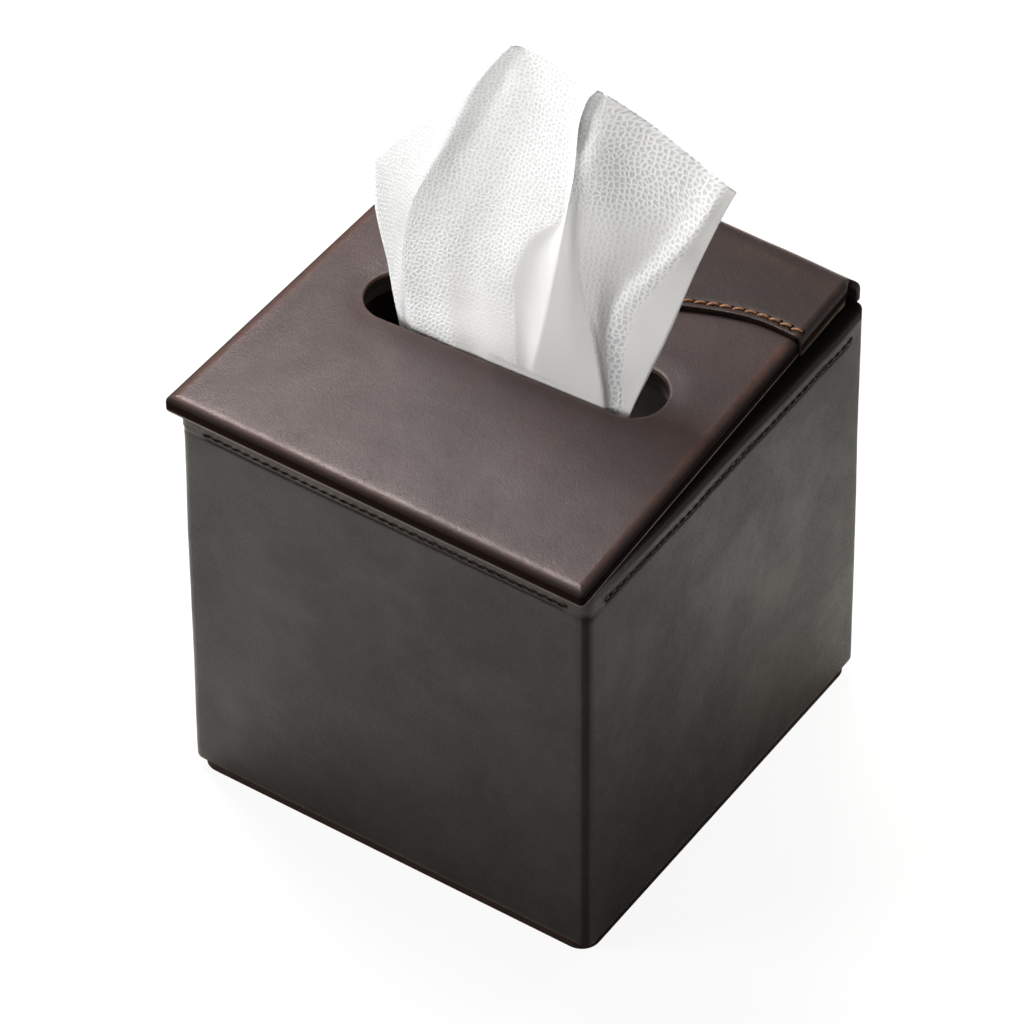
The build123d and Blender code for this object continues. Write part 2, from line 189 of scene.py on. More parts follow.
def waves(points, size, seed):
    """A soft, repeatable unevenness from about -1 to 1, this many millimetres across."""
    rng = np.random.default_rng(seed)
    total = np.zeros(points.shape[:-1])
    for _ in range(7):
        direction = rng.normal(size=3)
        direction /= np.linalg.norm(direction) * size * rng.uniform(0.7, 1.6) / FULL_TURN
        total += np.sin(points @ direction + rng.uniform(0, FULL_TURN))
    return total / 4


# %% [markdown]
# ## Turning a grid of points into a piece
#
# Most of the leather is a section carried along a path, which is a grid: one direction runs
# round the section, the other along the path. A grid is easy to keep closed and even, and a
# closed shell has an inside, so its faces can be made to point outwards by the sign of its
# volume. That is safer here than asking Blender to guess.


# %% Grid helpers
def grid_faces(rows, columns, wrap_rows, wrap_columns):
    r = np.arange(rows if wrap_rows else rows - 1)
    c = np.arange(columns if wrap_columns else columns - 1)
    r, c = np.meshgrid(r, c, indexing="ij")
    r2, c2 = (r + 1) % rows, (c + 1) % columns
    quads = np.stack(
        [r * columns + c, r * columns + c2, r2 * columns + c2, r2 * columns + c], -1
    )
    return quads.reshape(-1, 4)


def two_sided_faces(rows, columns):
    """Faces of a sheet with two sides and an edge all round. The second side's points follow
    the first's. Returned apart: the first side, the second, and the edge."""
    count = rows * columns
    first = grid_faces(rows, columns, False, False)
    border = (
        [(0, c) for c in range(columns)]
        + [(r, columns - 1) for r in range(1, rows)]
        + [(rows - 1, c) for c in range(columns - 2, -1, -1)]
        + [(r, 0) for r in range(rows - 2, 0, -1)]
    )
    border = np.array([r * columns + c for r, c in border])
    following = np.roll(border, -1)
    edge = np.column_stack([border, border + count, following + count, following])
    return first, first[:, ::-1] + count, edge


def rounded_loop(low, high, corner, sides, arc_steps):
    """A rounded rectangle between two corners, anticlockwise from its front side. For each
    side, sides tells how far along it its points lie, from -1 to 1."""
    low, high = np.array(low, float), np.array(high, float)
    middle, half = (low + high) / 2, (high - low) / 2
    arc = np.radians(np.linspace(0, 90, arc_steps))[1:-1]
    loop = []
    for outward, along, share in zip(
        ((0, -1), (1, 0), (0, 1), (-1, 0)), ((1, 0), (0, 1), (-1, 0), (0, -1)), sides
    ):
        outward, along = np.array(outward), np.array(along)
        loop.append(middle + outward * half + np.outer(share, along * (half - corner)))
        turn = np.outer(np.cos(arc), outward) + np.outer(np.sin(arc), along)
        loop.append(middle + (outward + along) * (half - corner) + corner * turn)
    return np.concatenate(loop)


def enclosed_volume(points, faces):
    total = 0.0
    for face in faces:
        corner = points[face[0]]
        for i in range(1, len(face) - 1):
            total += corner @ np.cross(points[face[i]], points[face[i + 1]])
    return total / 6


def link_new(name, data):
    """An object at the origin that shows this mesh, lamp or curve."""
    obj = bpy.data.objects.new(name, data)
    bpy.context.scene.collection.objects.link(obj)
    return obj


def piece(name, points, faces, finishes, body=None, attributes=None):
    """A smooth mesh of points in millimetres, riding on a body if one is named."""
    points = np.asarray(points, float).reshape(-1, 3)
    faces = [tuple(int(i) for i in face) for face in faces]
    if enclosed_volume(points, faces) < 0:
        faces = [face[::-1] for face in faces]
    mesh = bpy.data.meshes.new(name)
    mesh.from_pydata([tuple(p) for p in points * MM], [], faces)
    for key, values in (attributes or {}).items():
        layer = mesh.attributes.new(key, "FLOAT", "POINT")
        layer.data.foreach_set("value", np.asarray(values, np.float32).ravel())
    mesh.update()
    mesh.shade_smooth()
    for finish in finishes:
        mesh.materials.append(finish)
    obj = link_new(name, mesh)
    if body:
        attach(obj, body)
    print(f"{name}: {len(points)} points, {len(faces)} faces")
    return obj


# %% [markdown]
# ## Leather, seen close
#
# This leather is dyed dark, waxed and pulled over board. Close up it has a very fine grain,
# cloudy patches where the wax lies thicker, and pale scuffs. Where it is bent over an edge
# the wax is rubbed off and a warmer brown comes through. Each leather mesh carries its own
# "wear" value, high on its edges, so the rubbed colour follows the shape and not a picture.
# It also carries a value of painted shade, near black where the leather turns away from the
# light or lies in shadow, and a value of painted highlight on edges that catch the light.
# Everything else is noise in object coordinates: it can't slide when the lid opens.


# %% Shader helpers
def put(tree, socket, value):
    """Wires a socket to another one's output, or gives it a value of its own."""
    if hasattr(value, "is_output"):
        tree.links.new(value, socket)
    else:
        socket.default_value = value


def add_node(tree, kind, *values, settings=None, **inputs):
    """Adds a node. Its inputs are given in order, or by name with _ for a space."""
    node = tree.nodes.new(kind)
    for key, value in (settings or {}).items():
        setattr(node, key, value)
    for socket, value in zip(node.inputs, values):
        put(tree, socket, value)
    for key, value in inputs.items():
        put(tree, node.inputs[key.replace("_", " ")], value)
    return node


def bare_tree(owner):
    """The empty node tree of a material or world."""
    owner.use_nodes = True
    owner.node_tree.nodes.clear()
    return owner.node_tree


class Shader:
    """A few short words for building a material's nodes."""

    def __init__(self, name):
        self.material = bpy.data.materials.new(name)
        self.tree = bare_tree(self.material)
        self.out = self.add("ShaderNodeOutputMaterial")
        self.place = self.add("ShaderNodeTexCoord").outputs["Object"]

    def add(self, kind, *values, settings=None, **inputs):
        return add_node(self.tree, kind, *values, settings=settings, **inputs)

    def surface(self, **inputs):
        bsdf = self.add("ShaderNodeBsdfPrincipled", **inputs)
        put(self.tree, self.out.inputs["Surface"], bsdf.outputs["BSDF"])
        return self.material

    def attribute(self, name):
        node = self.add("ShaderNodeAttribute", settings={"attribute_name": name})
        return node.outputs["Fac"]

    def mapped(self, where, **inputs):
        return self.add("ShaderNodeMapping", where, **inputs).outputs["Vector"]

    def noise(self, size_mm, detail=4.0, rough=0.55, where=None, stretch=None, warp=0.0):
        where = where or self.place
        if stretch:
            where = self.mapped(where, Scale=stretch)
        sizes = {"Scale": 1 / (size_mm * MM), "Detail": detail, "Roughness": rough}
        node = self.add("ShaderNodeTexNoise", Vector=where, Distortion=warp, **sizes)
        return node.outputs["Fac"]

    def cells(self, size_mm, feature, where):
        settings, scale = {"feature": feature}, 1 / (size_mm * MM)
        node = self.add("ShaderNodeTexVoronoi", settings=settings, Vector=where, Scale=scale)
        return node.outputs["Distance"]

    def span(self, value, low, high, to_low=0.0, to_high=1.0, soft=False):
        settings = {"interpolation_type": "SMOOTHSTEP"} if soft else {}
        limits = (low, high, to_low, to_high)
        return self.add("ShaderNodeMapRange", value, *limits, settings=settings).outputs[0]

    def math(self, operation, a, b=0.0):
        return self.add("ShaderNodeMath", a, b, settings={"operation": operation}).outputs[0]

    def mix(self, share, a, b):
        node = self.add("ShaderNodeMix", share, settings={"data_type": "RGBA"})
        for socket, value in ((node.inputs[6], a), (node.inputs[7], b)):
            put(self.tree, socket, value if hasattr(value, "is_output") else (*value, 1.0))
        return node.outputs[2]

    def bump(self, height, depth_mm, strength=1.0, under=None):
        more = {} if under is None else {"Normal": under}
        sizes = {"Distance": depth_mm * MM, "Strength": strength}
        return self.add("ShaderNodeBump", Height=height, **sizes, **more).outputs["Normal"]


# %% Leather
def leather(name, dark, light, rubbed, tint, roughness=0.46, gloss=0.5, seed=0.0, speckle=0.2):
    """Waxed leather: two tones in clouds, a rubbed colour on its edges, fine grain, and painted
    shade and painted highlight where the mesh's values ask for them.
    """
    s = Shader(name)
    place = s.mapped(s.place, Location=(seed, seed * 0.7, -seed))
    clouds = s.span(s.noise(34, 5, 0.6, place, warp=0.4), 0.32, 0.70, soft=True)
    blotches = s.span(s.noise(7, 4, 0.6, place), 0.35, 0.70)
    tone = s.math("ADD", s.math("MULTIPLY", clouds, 0.7), s.math("MULTIPLY", blotches, 0.3))
    colour = s.mix(tone, dark, light)
    scuffs = s.span(s.noise(2.6, 6, 0.75, place, stretch=(1, 0.25, 1), warp=1.5), 0.63, 0.80)
    colour = s.mix(s.math("MULTIPLY", scuffs, 0.35), colour, rubbed)
    grain = s.noise(0.55, 3, 0.6, place)
    colour = s.mix(s.span(grain, 0.42, 0.72, 0.0, speckle), colour, (0.004, 0.003, 0.0025))
    wear = s.attribute("wear")
    ragged = s.math("MULTIPLY", s.noise(3.5, 6, 0.7, place), 1.6)
    worn = s.span(s.math("MULTIPLY", wear, ragged), 0.12, 1.0, 0.0, 0.85, soft=True)
    colour = s.mix(worn, colour, rubbed)
    # painted shade: the mesh's value darkens the colour to a near-black brown and roughens it
    painted_shade = s.attribute("painted_shade")
    colour = s.mix(painted_shade, colour, (0.0095, 0.0052, 0.0040))
    # painted highlight: the mesh's "pale" value lightens the colour, in patches
    patches = s.span(s.noise(9, 4, 0.6, place), 0.3, 0.6, 0.45, 1.0)
    pale = s.math("MULTIPLY", s.attribute("pale"), patches)
    colour = s.mix(pale, colour, (0.115, 0.096, 0.080))
    rough = s.span(tone, 0, 1, roughness + 0.07, roughness - 0.05)
    rough = s.math("ADD", rough, s.span(grain, 0.4, 0.8, 0.0, 0.16))
    rough = s.math("ADD", rough, s.math("MULTIPLY", painted_shade, 0.5))
    rough = s.math("SUBTRACT", rough, s.math("MULTIPLY", wear, 0.13))
    pores = s.cells(0.62, "F1", place)
    creases = s.span(s.cells(4.2, "DISTANCE_TO_EDGE", place), 0.0, 0.05)
    normal = s.bump(s.math("ADD", grain, s.math("MULTIPLY", pores, 0.5)), 0.08, 0.7)
    normal = s.bump(s.noise(2.4, 4, 0.6, place), 0.14, 0.4, normal)
    normal = s.bump(creases, 0.03, 0.12, normal)
    normal = s.bump(s.noise(11, 3, 0.5, place), 0.35, 0.30, normal)
    return s.surface(
        Base_Color=colour,
        Roughness=rough,
        Normal=normal,
        Specular_IOR_Level=gloss,
        Specular_Tint=(*tint, 1.0),
    )


wall_leather = leather(
    "wall_leather_waxed",
    dark=(0.0098, 0.0077, 0.0059),
    light=(0.0174, 0.0137, 0.0103),
    rubbed=(0.060, 0.026, 0.014),
    tint=(1.0, 0.95, 0.89),
    roughness=0.42,
    gloss=0.42,
    speckle=0.45,
)
lid_leather = leather(
    "lid_leather_waxed",
    dark=(0.0270, 0.0160, 0.0150),
    light=(0.0440, 0.0270, 0.0250),
    rubbed=(0.085, 0.034, 0.022),
    tint=(1.0, 0.91, 0.90),
    roughness=0.42,
    gloss=0.36,
    seed=0.31,
)
flap_leather = leather(
    "flap_leather_waxed",
    dark=(0.0190, 0.0130, 0.0115),
    light=(0.0330, 0.0225, 0.0200),
    rubbed=(0.130, 0.050, 0.022),
    tint=(1.0, 0.92, 0.91),
    roughness=0.38,
    gloss=0.32,
    seed=0.57,
)
# a darker, almost glossless copy of the leather: painted shade, for the lid's side, the flap's
# rolled sides and the flap's needle holes
shaded_copy_of_leather = leather(
    "leather_in_painted_shade",
    dark=(0.0045, 0.0027, 0.0022),
    light=(0.0090, 0.0052, 0.0040),
    rubbed=(0.034, 0.014, 0.009),
    tint=(1.0, 0.85, 0.78),
    roughness=0.55,
    gloss=0.02,
    seed=0.83,
)
print("leathers:", [m.name for m in (wall_leather, lid_leather, flap_leather, shaded_copy_of_leather)])


# %% [markdown]
# ### Cut edges, board, lining and thread
#
# Where leather is cut, its fibres show: paler, rougher and brown, with the top and bottom
# skins as darker lines. The board in the slot's wall is dyed dark. The lining is a flat
# suede. The thread is waxed, tan on the flap and almost black on the walls.


# %% The other finishes
def cut_edge(name, pale, deep):
    s = Shader(name)
    fibres = s.noise(0.5, 5, 0.7, stretch=(1, 1, 3.5))
    colour = s.mix(s.span(fibres, 0.35, 0.68), deep, pale)
    colour = s.mix(s.span(s.noise(6, 4, 0.6), 0.4, 0.7, 0.0, 0.5), colour, deep)
    normal = s.bump(fibres, 0.12, 0.6)
    return s.surface(Base_Color=colour, Roughness=0.72, Specular_IOR_Level=0.3, Normal=normal)


def dyed_board():
    s = Shader("dyed_board")
    fibres = s.noise(0.9, 5, 0.65, stretch=(1, 1, 5))
    colour = s.mix(s.span(fibres, 0.3, 0.7), (0.004, 0.003, 0.0025), (0.012, 0.009, 0.007))
    return s.surface(Base_Color=colour, Roughness=0.85, Normal=s.bump(fibres, 0.08, 0.5))


def suede():
    s = Shader("suede_lining")
    nap = s.noise(0.28, 4, 0.75)
    brushed = s.noise(9, 4, 0.6, stretch=(1, 1, 0.35), warp=0.6)
    tone = s.math("ADD", s.math("MULTIPLY", nap, 0.55), s.math("MULTIPLY", brushed, 0.45))
    # the suede is kept very dark: its own dark colour, and painted shade inside the box as well
    return s.surface(
        Base_Color=s.mix(s.span(tone, 0.35, 0.65), (0.020, 0.012, 0.009), (0.052, 0.034, 0.026)),
        Roughness=0.95,
        Specular_IOR_Level=0.15,
        Sheen_Weight=0.15,
        Sheen_Roughness=0.5,
        Normal=s.bump(nap, 0.10, 0.6),
    )


def thread(name, pale, deep):
    s = Shader(name)
    twist = s.noise(0.22, 3, 0.6)
    colour = s.mix(s.span(twist, 0.35, 0.65), deep, pale)
    colour = s.mix(s.span(s.noise(2.2, 3, 0.6), 0.45, 0.7, 0.0, 0.6), colour, deep)
    return s.surface(Base_Color=colour, Roughness=0.5, Normal=s.bump(twist, 0.10, 0.6))


raw_edge = cut_edge("leather_cut_edge", (0.52, 0.25, 0.125), (0.22, 0.095, 0.048))
dark_edge = cut_edge("leather_dark_edge", (0.034, 0.016, 0.010), (0.008, 0.0045, 0.0035))
board = dyed_board()
lining = suede()
tan_thread = thread("tan_waxed_thread", (0.42, 0.19, 0.075), (0.10, 0.036, 0.014))
dark_thread = thread("dark_waxed_thread", (0.024, 0.011, 0.006), (0.0030, 0.0018, 0.0014))
for finish in (raw_edge, dark_edge, board, lining, tan_thread, dark_thread):
    print(f"{finish.name}: {len(finish.node_tree.nodes)} nodes")

# %% [markdown]
# ## The board and lining inside
#
# These pieces are flat and hidden but for a glimpse through the slot and the view under an
# open lid. The solid's own plates have their true shape, so they stay and only take their
# finish. The lid's two plates are copied later, when the lid has its shape.

# %% Finishes on the solids that stay
for name, obj in nodes.items():
    if name.endswith("_board"):
        finish = board
    elif name.endswith("_lining"):
        finish = lining
    elif name == "base_pad":
        finish = dark_edge
    else:
        continue
    for slot in obj.material_slots:
        slot.material = finish
    if not obj.material_slots:
        obj.data.materials.append(finish)
print("finished plates:", sum(n.endswith(("_board", "_lining")) for n in nodes))

# %% [markdown]
# ## The walls' leather
#
# On the real box one strip of leather goes round the boards and is turned over the rim, so
# it is made as one ring here: a section carried round a rounded rectangle. The section
# starts at the foot, climbs the face, opens out a little at the top, rolls over the rim and
# goes 12 down the inside. At the back the ring steps in by its thickness, because there the
# wall's leather is the hinge strip, a piece of its own.

# %% Section of the walls' leather
SKIN = 2.0
TURN_IN = 12.0
BOARD = 1.0  # what is left of the wall's board above the linings
HAIR = 0.02  # keeps two faces from lying in one plane
CREASE = RIM - 9.4
RIM_ROUND = 1.2
FOOT_ROUND = 0.8
WALL_CORNER = 3.0
POINTS_ACROSS, POINTS_DEEP = 60, 62
BACK_STEP = 0.9975  # where the back steps in, as a share of its half


def wall_section():
    """Inset from the outside and height, once round the leather."""
    points = [(SKIN, FOOT), (1.3, FOOT), (FOOT_ROUND, FOOT)]
    for a in np.radians((30, 60, 90)):
        sine, cosine = 1 - math.sin(a), 1 - math.cos(a)
        points.append((FOOT_ROUND * sine, FOOT + FOOT_ROUND * cosine))
    points += [(0.0, z) for z in np.linspace(FOOT + 2, CREASE - 3, 40)]
    points += [(0.0, CREASE + d) for d in (-2, -1.2, -0.7, -0.45, -0.2, 0, 0.2, 0.45, 0.7)]
    points += [(0.0, z) for z in np.linspace(CREASE + 1.3, RIM - RIM_ROUND, 9)]
    for a in np.radians((15, 30, 45, 60, 75, 90)):
        sine, cosine = 1 - math.sin(a), 1 - math.cos(a)
        points.append((RIM_ROUND * cosine, RIM - RIM_ROUND * sine))
    points += [(inset, RIM) for inset in (2.0, 3.0, 4.0)]
    inner = 2 * SKIN + BOARD + RIM_ROUND
    for a in np.radians((0, 30, 60, 90)):
        sine, cosine = 1 - math.sin(a), 1 - math.cos(a)
        points.append((inner - RIM_ROUND * sine, RIM - RIM_ROUND * cosine))
    points += [(inner, z) for z in np.linspace(RIM - 3, RIM - TURN_IN, 5)]
    inner_side = 2 * SKIN + BOARD + HAIR
    points += [(inner_side, RIM - down) for down in (TURN_IN, 5, SKIN + HAIR)]
    points += [(SKIN + HAIR, RIM - SKIN - HAIR), (SKIN, RIM - TURN_IN), (SKIN, RIM / 2)]
    return np.array(points)


def ring(inset, corner):
    """One loop of the walls, with points close together at the back's steps."""
    w, d = HALF_WIDTH - inset, HALF_DEPTH - inset
    across, deep = np.linspace(-1, 1, POINTS_ACROSS), np.linspace(-1, 1, POINTS_DEEP)
    back = np.concatenate([[-1.0, -BACK_STEP], across[1:-1], [BACK_STEP, 1.0]])
    return rounded_loop((-w, -d), (w, d), corner, (across, deep, back, deep), 9)


section = wall_section()
print("points round the section:", len(section), "and round the walls:", len(ring(0, 1)))

# %% Shape of the walls' leather
FLARE = 0.45  # how far the leather opens out above the crease
PRESSED_IN = 0.38  # and how deep the pressed line under the stitches is
NOTCH_Z = 138.4  # where the front corner's two edges of leather meet under the rim
loops = []
for inset, z in section:
    loop = ring(inset, max(WALL_CORNER - inset, 0.6))
    loops.append(np.column_stack([loop, np.full(len(loop), z)]))
plain = np.array(loops)
x, y, height = np.moveaxis(plain, -1, 0)
side_x = smooth_step(np.abs(x), HALF_WIDTH - 6, HALF_WIDTH - 0.5)
side_y = smooth_step(np.abs(y), HALF_DEPTH - 6, HALF_DEPTH - 0.5)
normal = np.stack([np.sign(x) * side_x, np.sign(y) * side_y, np.zeros_like(x)], -1)
normal /= np.maximum(np.linalg.norm(normal, axis=-1, keepdims=True), 1e-6)
outer = (section[:, 0] < 1.25)[:, None] & (section[:, 1] < RIM + 1)[:, None]
# the leather swells a little, opens out under the rim and is notched and puckered there
swell = 0.18 * waves(plain, 55, 3) + 0.06 * waves(plain, 16, 5)
at_front_corner = np.hypot(x - HALF_WIDTH, y + HALF_DEPTH)
at_left_corner = np.hypot(x + HALF_WIDTH, y + HALF_DEPTH)
away_from_corner = 1 - bell(at_front_corner, 8)
flare = FLARE * smooth_step(height, CREASE - 0.5, CREASE + 3.5)
flare *= smooth_step(HALF_DEPTH - y, 2, 14) * away_from_corner
notch = 0.75 * bell(height - NOTCH_Z, 0.9) * bell(at_front_corner, 5)
pucker = 0.14 * np.sin(height * 1.9) * smooth_step(height, 134, 140)
pucker *= bell(at_left_corner, 7) * (height < RIM - 1.0)
face_x = (np.abs(x) < HALF_WIDTH - 9) & (np.abs(y) > HALF_DEPTH - 1)
face_y = (np.abs(y) < HALF_DEPTH - 9) & (np.abs(x) > HALF_WIDTH - 1)
pressed = PRESSED_IN * bell(height - CREASE, 0.38) * (face_x | face_y)
push = np.where(outer, np.maximum(swell, -0.3) + flare - notch + pucker - pressed, 0.0)
fade_to_foot = smooth_step(height, FOOT, FOOT + 6)
walls = plain + normal * (push * fade_to_foot)[..., None]
# at the back the leather steps in under the hinge strip
at_back = (y > HALF_DEPTH - 2.2) & (np.abs(x) < HALF_WIDTH - WALL_CORNER - 0.1)
stepped_in = np.minimum(walls[..., 1], HALF_DEPTH - SKIN - HAIR)
walls[..., 1] = np.where(at_back, stepped_in, walls[..., 1])
print(f"the walls' leather moves out by up to {push.max():.2f} mm")

# %% Wear, painted shade and painted highlight of the walls' leather
from_side_x, from_side_y = np.abs(np.abs(x) - HALF_WIDTH), np.abs(np.abs(y) - HALF_DEPTH)
upright = np.minimum(from_side_x, 9) + np.minimum(from_side_y, 9)
wear = 0.85 * bell(upright, 2.2)
wear = np.maximum(wear, 0.75 * bell(height - RIM, 1.1) * outer)
wear = np.maximum(wear, 0.8 * bell(height - FOOT, 1.2) * outer)
# painted shade: dark on the rolled rim under the lid, on the rim's top and the leather turned
# in inside the box, in the pressed line under the stitches, and up the front corner
round_corner = np.arctan2(x - (HALF_WIDTH - WALL_CORNER), -(y + HALF_DEPTH - WALL_CORNER))
corner_painted_shade = (y < -HALF_DEPTH + 3.2) * smooth_step(x - (HALF_WIDTH - 3.4), 0, 1.2)
corner_painted_shade *= (1 - smooth_step(round_corner, 0.75, 1.1)) * (height < RIM - 8)
rim_painted_shade = smooth_step(height, RIM - 4.3, RIM - 3.2)
rim_painted_shade *= 0.3 + 0.7 * smooth_step(y, -66, -30)
press_painted_shade = 0.40 * bell(height - CREASE - 0.3, 1.1) * (face_x | face_y)
painted_shade = np.maximum(0.92 * rim_painted_shade, 0.6 * ~outer)
painted_shade = np.maximum(painted_shade, np.maximum(press_painted_shade, 0.8 * corner_painted_shade))
# painted highlight: a faint pale band above the stitches, where the leather tilts out to the
# light
highlight_band = smooth_step(height, RIM - 7.2, RIM - 6.4)
highlight_band *= 1 - smooth_step(height, RIM - 4.4, RIM - 3.6)
pale = 0.10 * highlight_band * outer * away_from_corner
wall_skin = piece(
    "wall_leather",
    walls,
    grid_faces(*walls.shape[:2], True, True),
    [wall_leather],
    "box",
    attributes={"wear": wear * (1 - painted_shade), "painted_shade": painted_shade, "pale": pale},
)
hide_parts("front_leather", "right_leather", "left_leather", "back_rim_facing")

# %% [markdown]
# ## The lid's leather
#
# The lid's leather is drawn over its board, rolled round the edges and turned under. Its
# shell has a hole through it, the slot, so its section is carried round twice over: each
# point of the outer outline has a partner on the slot's outline, and rings of points lie
# between them. Near the slot the leather sinks a little, where fingers have pressed it. At
# the end the whole grid is narrowed to the back and turned round the slot, which the
# photographed lid shows and the solid doesn't.

# %% Outlines of the lid
LID_ROUND = 2.5  # how far the roll comes down
LID_ROLL = 3.3  # and how far in on the lid it begins
LID_CORNER = 1.5
ALONG = 1 / math.cos(LID_TILT)
lid_low, lid_high = (LID_FRONT + HALF_DEPTH) * ALONG, (LID_REAR + HALF_DEPTH) * ALONG
slot_along = (SLOT_Y + HALF_DEPTH) * ALONG
print(f"along its own plane the lid is {lid_high - lid_low:.1f} mm deep")


def lid_outline(inset, corner, count=44, arc_steps=9):
    """The lid's outline on its own plane, from the middle of the right side round."""
    w = LID_HALF - inset
    corners = (-w, lid_low + inset), (w, lid_high - inset)
    even = np.linspace(-1, 1, count)
    loop = rounded_loop(*corners, max(corner, 0.05), [even] * 4, arc_steps)
    return np.roll(loop, -(count + arc_steps - 2 + count // 2), axis=0)


def slot_partner(outer):
    """For each point of the lid's outline: its share of the slot's straight, or its angle."""
    turn_x = LID_HALF - 8
    middle, half = (lid_low + lid_high) / 2, (lid_high - lid_low) / 2
    dx, dy = np.abs(outer[:, 0]), outer[:, 1] - middle
    on_straight = dx <= turn_x
    walked = np.where(dy < 0, (dx - turn_x) + (dy + half), 16 + half - (dx - turn_x) + dy)
    angle = -math.pi / 2 + math.pi * np.clip(walked / (16 + 2 * half), 0, 1)
    angle = np.where(on_straight, np.sign(dy) * math.pi / 2, angle)
    straight = np.where(on_straight, outer[:, 0] / turn_x, np.sign(outer[:, 0]))
    return straight * (SLOT_HALF - SLOT_RADIUS), angle, np.sign(outer[:, 0])


def slot_outline(partner, grow=0.0):
    """The slot's outline, grown a little, point by point with the lid's outline."""
    start, angle, side = partner
    radius = SLOT_RADIUS + grow
    x = start + side * radius * np.cos(angle)
    return np.column_stack([x, slot_along + radius * np.sin(angle)])


# %% Rows of the lid's leather
LID_SKIN = 1.6
LID_LOW = 2.0
LID_UNDER = 3.2
UNDER_ROUND = 0.9
TURN_UNDER = 11.0
SLOT_ROUND = 0.7
edge_line = lid_outline(0, LID_CORNER)
partner = slot_partner(edge_line)
rows, row_wear, row_painted_shade, row_painted_highlight = [], [], [], []


def lid_row(xy, high, worn=0.0, painted_shade=0.0, pale=0.0):
    rows.append(np.column_stack([xy, np.broadcast_to(high, len(xy))]))
    for kept, value in ((row_wear, worn), (row_painted_shade, painted_shade), (row_painted_highlight, pale)):
        kept.append(np.broadcast_to(value, len(xy)))


slot_line = slot_outline(partner)
# the pale values paint a highlight on the slot's rounded rim
for angle, pale in ((90, 0.0), (60, 0.30), (30, 0.55), (0, 0.25)):  # rolled into the slot
    a = math.radians(angle)
    high = LID_THICK - SLOT_ROUND * (1 - math.cos(a))
    lid_row(slot_outline(partner, SLOT_ROUND * (1 - math.sin(a))), high, 0.6, pale=pale)
top_start = slot_outline(partner, SLOT_ROUND)
top_end = lid_outline(LID_ROLL, 0.1)
for share in np.concatenate([[0.02, 0.05, 0.09], np.linspace(0.14, 0.99, 40)]):
    row = top_start * (1 - share) + top_end * share
    inward = np.minimum(LID_HALF - np.abs(row[:, 0]), row[:, 1] - lid_low)
    lid_row(row, LID_THICK, 0.50 * bell(inward - LID_ROLL, 2.4))
# painted shade darkens the roll as it turns down, to near black on the side
for angle, worn, painted_shade in zip(  # rolled over the outer edge
    range(0, 91, 15),
    (0.60, 0.65, 0.60, 0.30, 0.05, 0.0, 0.0),
    (0.0, 0.0, 0.20, 0.65, 0.92, 1.0, 1.0),
):
    a = math.radians(angle)
    inset = LID_ROLL * (1 - math.sin(a))
    high = LID_THICK - LID_ROUND * (1 - math.cos(a))
    lid_row(lid_outline(inset, LID_CORNER - inset), high, worn, painted_shade)
side_start = len(rows) - 2
# the side in painted shade, with a painted highlight along its lowest line
for high, painted_shade in ((4.7, 0.9), (4.1, 0.9), (3.5, 0.8), (3.2, 0.55)):
    lid_row(edge_line, high, 0.0, painted_shade, 0.0 if high > 3.4 else 0.35)
side_end = len(rows) - 1
# the pale values paint a highlight along the lid's rolled lower edge
for angle, pale in ((0, 0.55), (20, 0.9), (45, 1.0), (65, 0.6), (90, 0.0)):  # rolled under
    a = math.radians(angle)
    inset = UNDER_ROUND * (1 - math.cos(a))
    high = LID_LOW + UNDER_ROUND * (1 - math.sin(a))
    lid_row(lid_outline(inset, LID_CORNER - inset), high, pale=pale)
# painted shade on the turned-under leather beneath the lid
for inset in (3, 6, TURN_UNDER):
    lid_row(lid_outline(inset, 0.1), LID_LOW, 0.0, 0.5)
lid_row(lid_outline(TURN_UNDER, 0.1), LID_UNDER)
lid_row(lid_outline(LID_SKIN, 0.6), LID_UNDER)
lid_row(lid_outline(LID_SKIN, 0.6), LID_THICK - LID_SKIN)
lid_row(top_start * 0.2 + top_end * 0.8, LID_THICK - LID_SKIN)
lid_row(slot_line, LID_THICK - LID_SKIN)
lid = np.array(rows)
print("rows of the lid's leather:", len(rows))

# %% Lid's leather
x, along, high = np.moveaxis(lid, -1, 0)
past_straight = np.maximum(np.abs(x) - (SLOT_HALF - SLOT_RADIUS), 0)
from_slot = np.maximum(np.hypot(past_straight, along - slot_along) - SLOT_RADIUS, 0)
from_edge = np.minimum(along - lid_low, lid_high - along)
from_edge = np.minimum(LID_HALF - np.abs(x), from_edge)
sink = 0.45 * bell(from_slot, 4.5) + 0.10 * bell(from_edge, 7)
uneven = 0.10 * waves(lid, 45, 11) + 0.04 * waves(lid, 14, 12)
uneven *= smooth_step(from_edge, 0, 8)
high = high + np.where(high > LID_THICK - 1.2, uneven - sink, 0.0)
share = np.maximum(from_edge, 0) / np.maximum(np.maximum(from_edge, 0) + from_slot, 0.01)
x, along = turned_slot(x, along, slot_along, share)
lid_skin = piece(
    "lid_leather",
    on_lid(np.stack([narrowed(x, along - HALF_DEPTH), along, high], -1)),
    grid_faces(*lid.shape[:2], True, True),
    [lid_leather, raw_edge, shaded_copy_of_leather],
    "lid",
    attributes={
        "wear": np.array(row_wear),
        "painted_shade": np.array(row_painted_shade),
        "pale": np.array(row_painted_highlight),
    },
)
columns = lid.shape[1]
# the cut edge in the slot takes the cut finish, and the side the dark leather in painted shade
for polygon in lid_skin.data.polygons:
    row = polygon.index // columns
    if row == len(rows) - 1:  # the cut edge inside the slot
        polygon.material_index = 1
    elif side_start <= row < side_end:
        polygon.material_index = 2
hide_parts("lid_leather")


